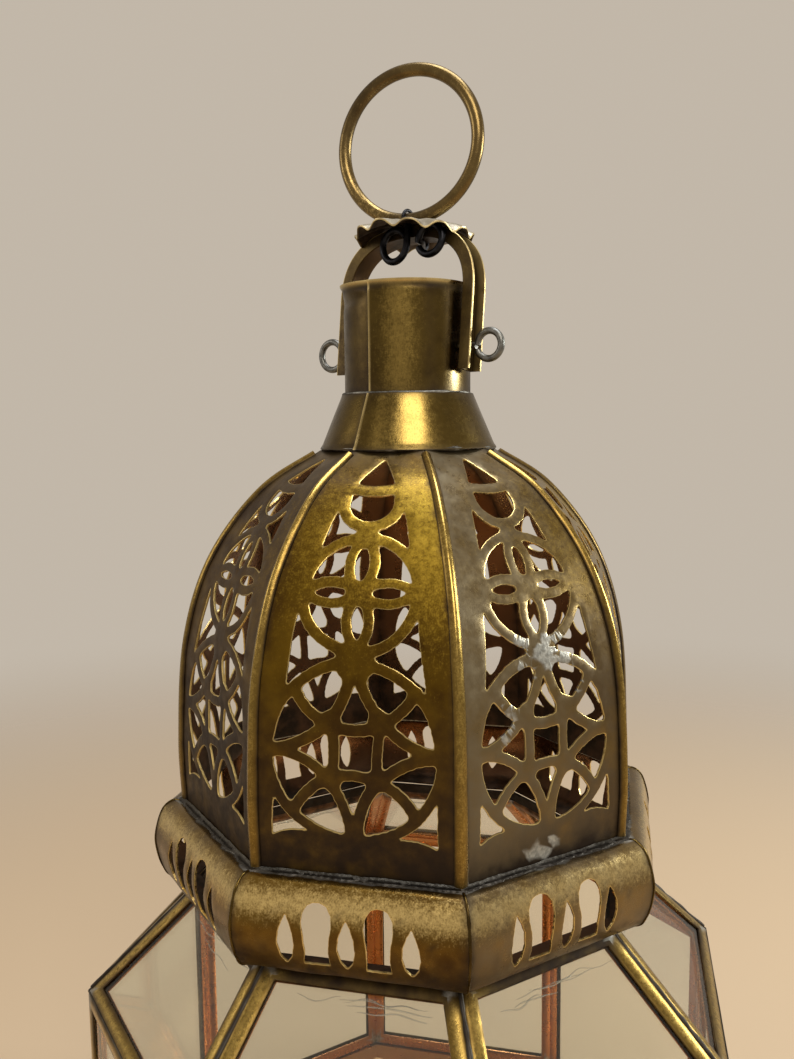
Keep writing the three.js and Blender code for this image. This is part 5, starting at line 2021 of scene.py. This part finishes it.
def octagon(profile: Sequence[Sequence[float]], steps: int, seed: int, uneven: float = 0.08 * MM) -> Shape:
    """A closed outline of corner radius and height, carried round the octagon.

    Args:
        profile: The outline.
        steps: Steps along each side.
        seed: Which unevenness.
        uneven: How far the sides wander.

    Returns:
        The shape.
    """
    rings = []
    for side in range(SIDES):
        start, end = HALF * (2 * side + 1), HALF * (2 * side + 3)
        for step in range(steps):
            share = step / steps
            x = math.cos(start) * (1 - share) + math.cos(end) * share
            y = math.sin(start) * (1 - share) + math.sin(end) * share
            rings.append([(r * x, r * y, z) for r, z in profile])
    stack = np.array(rings)
    middle = stack.mean(axis=1)
    swing = 1 + ripple(middle, seed, uneven, 18.0) / np.hypot(middle[:, 0], middle[:, 1])
    stack[:, :, :2] *= swing[:, None, None]
    return lofted(stack, closed=True)


@dataclass
class Foot(Assembly):
    """The folded pan that the lantern stands on, and the candle cup."""

    sheet: float = 1.2 * MM
    foot_radius: float = 127.7 * MM
    top_radius: float = 123.1 * MM
    floor: float = 11 * MM
    roll: float = 1.25 * MM
    cup_wall: float = 1.0 * MM
    cup_bead: float = 0.6 * MM

    def pan(self) -> None:
        """Makes the pan: a rolled foot, a skirt with a fold and a floor."""
        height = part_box("base_pan")[1].z
        wide, top, thick = self.foot_radius, self.top_radius, self.sheet
        roll = [(wide - thick + self.roll * math.cos(a), self.roll + self.roll * math.sin(a))
                for a in np.linspace(-math.pi * 0.5, math.pi * 0.42, 9)]
        roll[0] = (roll[0][0], 0.0)
        inside = top - STRIP_DEPTH
        profile = roll + [
            (wide - thick * 1.5, thick * 2.9), (top + 0.7 * MM, height - thick * 2.6),
            (top + 0.1 * MM, height - thick * 1.8), (top, height - 0.3 * MM), (top - 0.3 * MM, height),
            (inside - thick, height),
            (inside - thick, self.floor + thick + 0.5 * MM), (inside - thick - 0.5 * MM, self.floor + thick),
            (1 * MM, self.floor + thick), (1 * MM, self.floor), (inside, self.floor),
            (inside, self.floor - thick * 2), (wide - thick * 2.2, thick * 2), (wide - thick * 2.2, 0)]
        shape = octagon(profile, 14, 800, 0.1 * MM)
        z = shape.points[:, 2]
        # Darker at the bottom and along the fold.
        grime = np.exp(-z / (2 * MM)) * 0.4 + np.exp(-np.abs(z - (height - 3 * MM)) / (1.2 * MM)) * 0.5
        # The lining takes the inside colour, painted pale as warm light inside the lantern.
        lining = [float(r < inside and h > self.floor + thick / 2) for r, h in profile]
        shape.masked(grime=held(grime), glow=0.35, inside=np.tile(lining, len(z) // len(profile)))
        self.piece("foot_pan", merged([shape, self.floor_plug()]), self.finishes.sheet, ["base_pan"], 35)

    def floor_plug(self) -> Shape:
        """The middle of the pan's floor, which closes the octagon.

        Returns:
            The shape.
        """
        radius = 1.15 * MM
        hub, top = radius * 0.02, self.floor + self.sheet
        profile = np.array([(hub, self.floor), (radius, self.floor), (radius, top), (hub, top)])
        return spun(profile, full_turn(SIDES))

    def cup(self) -> None:
        """Makes the candle cup with its rolled rim."""
        low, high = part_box("candle_cup")
        radius, wall, bead = high.x - 1 * MM, self.cup_wall, self.cup_bead
        rim = [(high.x - 0.5 * MM + bead * math.cos(a), high.z - bead + bead * math.sin(a))
               for a in np.linspace(-0.3, math.pi, 9)]
        profile = np.array([
            (0.2 * MM, low.z), (radius - 1.2 * MM, low.z), (radius - 0.2 * MM, low.z + 0.5 * MM),
            (radius, low.z + 1.4 * MM), (high.x - 0.2 * MM, high.z - 1.6 * MM), *rim,
            (radius - wall + 0.4 * MM, high.z - 2 * MM), (radius - wall, low.z + wall + 0.6 * MM),
            (radius - wall - 0.6 * MM, low.z + wall), (0.2 * MM, low.z + wall)])
        shape = spun(profile, full_turn(96))
        # Darker towards the bottom.
        grime = np.exp(-(shape.points[:, 2] - low.z) / (2.5 * MM)) * 0.7
        shape.masked(grime=held(grime), glow=0.3)
        self.piece("cup", shape, self.finishes.sheet, ["candle_cup"], 40)

    def build(self) -> None:
        """Makes the foot and the cup."""
        self.pan()
        self.cup()


@dataclass
class Studio:
    """The floor, the lamps and the camera at the photograph's viewpoint."""

    camera_at: tuple[float, float, float] = (0.0764, -0.3375, 0.34285)
    azimuth: float = 13.5
    down: float = 5.93
    roll: float = -0.65
    lens: float = 31.63
    backdrop: Colour = (0.54, 0.475, 0.395)
    ground: Colour = (0.60, 0.455, 0.305)
    glossy_share: float = 0.7
    world_light: float = 0.5
    aim: tuple[float, float, float] = (0, 0, 0.27)
    floor_half: float = 1.6

    def camera(self) -> None:
        """Sets the camera."""
        data = bpy.data.cameras.new("view")
        data.lens = self.lens
        data.sensor_width = 36.0
        data.clip_start = 0.01
        made = bpy.data.objects.new("view", data)
        bpy.context.scene.collection.objects.link(made)
        a, p = math.radians(self.azimuth), math.radians(self.down)
        ahead = Vector((-math.sin(a) * math.cos(p), math.cos(a) * math.cos(p), -math.sin(p)))
        turn = ahead.to_track_quat("-Z", "Y").to_matrix().to_4x4()
        made.matrix_world = (
            Matrix.Translation(self.camera_at) @ turn @ Matrix.Rotation(math.radians(self.roll), 4, "Z"))
        bpy.context.scene.camera = made

    def floor(self) -> None:
        """Makes the pale floor, which fades into the backdrop."""
        half = self.floor_half
        corners = [(x * half, y * half, 0) for x, y in ((-1, -1), (1, -1), (1, 1), (-1, 1))]
        mesh = bpy.data.meshes.new("floor")
        mesh.from_pydata(corners, [], [(0, 1, 2, 3)])
        g = Graph("floor")
        shade = g.noise(3.0, 3.0)
        colour = g.blend(shade * 0.2, self.ground, tuple(c * 0.94 for c in self.ground))
        away = g.node("ShaderNodeVectorMath", {"operation": "LENGTH"}, {0: g.place()}, "Value")
        ground = g.shine(Base_Color=colour, Roughness=0.75)
        clear = g.node("ShaderNodeBsdfTransparent", {}, {"Color": (1.0, 1.0, 1.0, 1.0)})
        fade = away.ramp(0.32, 1.3)
        mesh.materials.append(g.finish(g.node("ShaderNodeMixShader", {}, {0: fade, 1: ground, 2: clear})))
        made = bpy.data.objects.new("floor", mesh)
        bpy.context.scene.collection.objects.link(made)

    def lamp(self, name: str, at: Sequence[float], size: float, power: float, colour: Colour) -> None:
        """Adds one soft lamp.

        Args:
            name: Its name.
            at: Where it is.
            size: Its side.
            power: Its power in watts.
            colour: Its colour.
        """
        data = bpy.data.lights.new(name, "AREA")
        data.size = size
        data.energy = power
        data.color = colour
        made = bpy.data.objects.new(name, data)
        bpy.context.scene.collection.objects.link(made)
        away = Vector(self.aim) - Vector(at)
        made.matrix_world = Matrix.Translation(at) @ away.to_track_quat("-Z", "Y").to_matrix().to_4x4()

    def lamps(self) -> None:
        """Sets the lamps and the world."""
        self.lamp("key", (0.45, -1.0, 1.2), 0.7, 9.0, (1.0, 0.93, 0.82))
        self.lamp("top", (0.15, 0.05, 1.5), 0.7, 11.0, (0.96, 0.98, 1.0))
        self.lamp("side", (1.1, 0.40, 0.55), 0.35, 8.0, (0.97, 1.0, 0.94))
        self.lamp("fill", (-1.15, -0.35, 0.75), 0.5, 2.0, (1.0, 0.95, 0.88))
        g = Graph("studio", world=True)
        colour = (*self.backdrop, 1.0)
        seen = g.node("ShaderNodeBackground", {}, {"Color": colour, "Strength": 1.0})
        lit = g.node("ShaderNodeBackground", {}, {"Color": colour, "Strength": self.world_light})
        eye = g.node("ShaderNodeLightPath", {}, {}, "Is Camera Ray")
        through = g.node("ShaderNodeLightPath", {}, {}, "Is Transmission Ray")
        glossy = g.node("ShaderNodeLightPath", {}, {}, "Is Glossy Ray")
        share = (eye + through + glossy * self.glossy_share).clamped()
        bpy.context.scene.world = g.finish(g.node("ShaderNodeMixShader", {}, {0: share, 1: lit, 2: seen}))

    def build(self) -> None:
        """Sets the stage."""
        self.camera()
        self.floor()
        self.lamps()
        bpy.context.scene.view_settings.view_transform = "Standard"


def main() -> None:
    """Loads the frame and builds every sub-assembly."""
    logging.basicConfig(level=logging.INFO, format="%(name)s %(message)s")
    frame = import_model()
    studio = Studio()
    studio.build()
    finishes = Finishes()
    Dome(finishes).build()
    Collar(finishes).build()
    Neck(finishes).build()
    Bail(finishes).build()
    Glazing(finishes).build(frame)
    Foot(finishes).build()


if __name__ == "__main__":
    main()
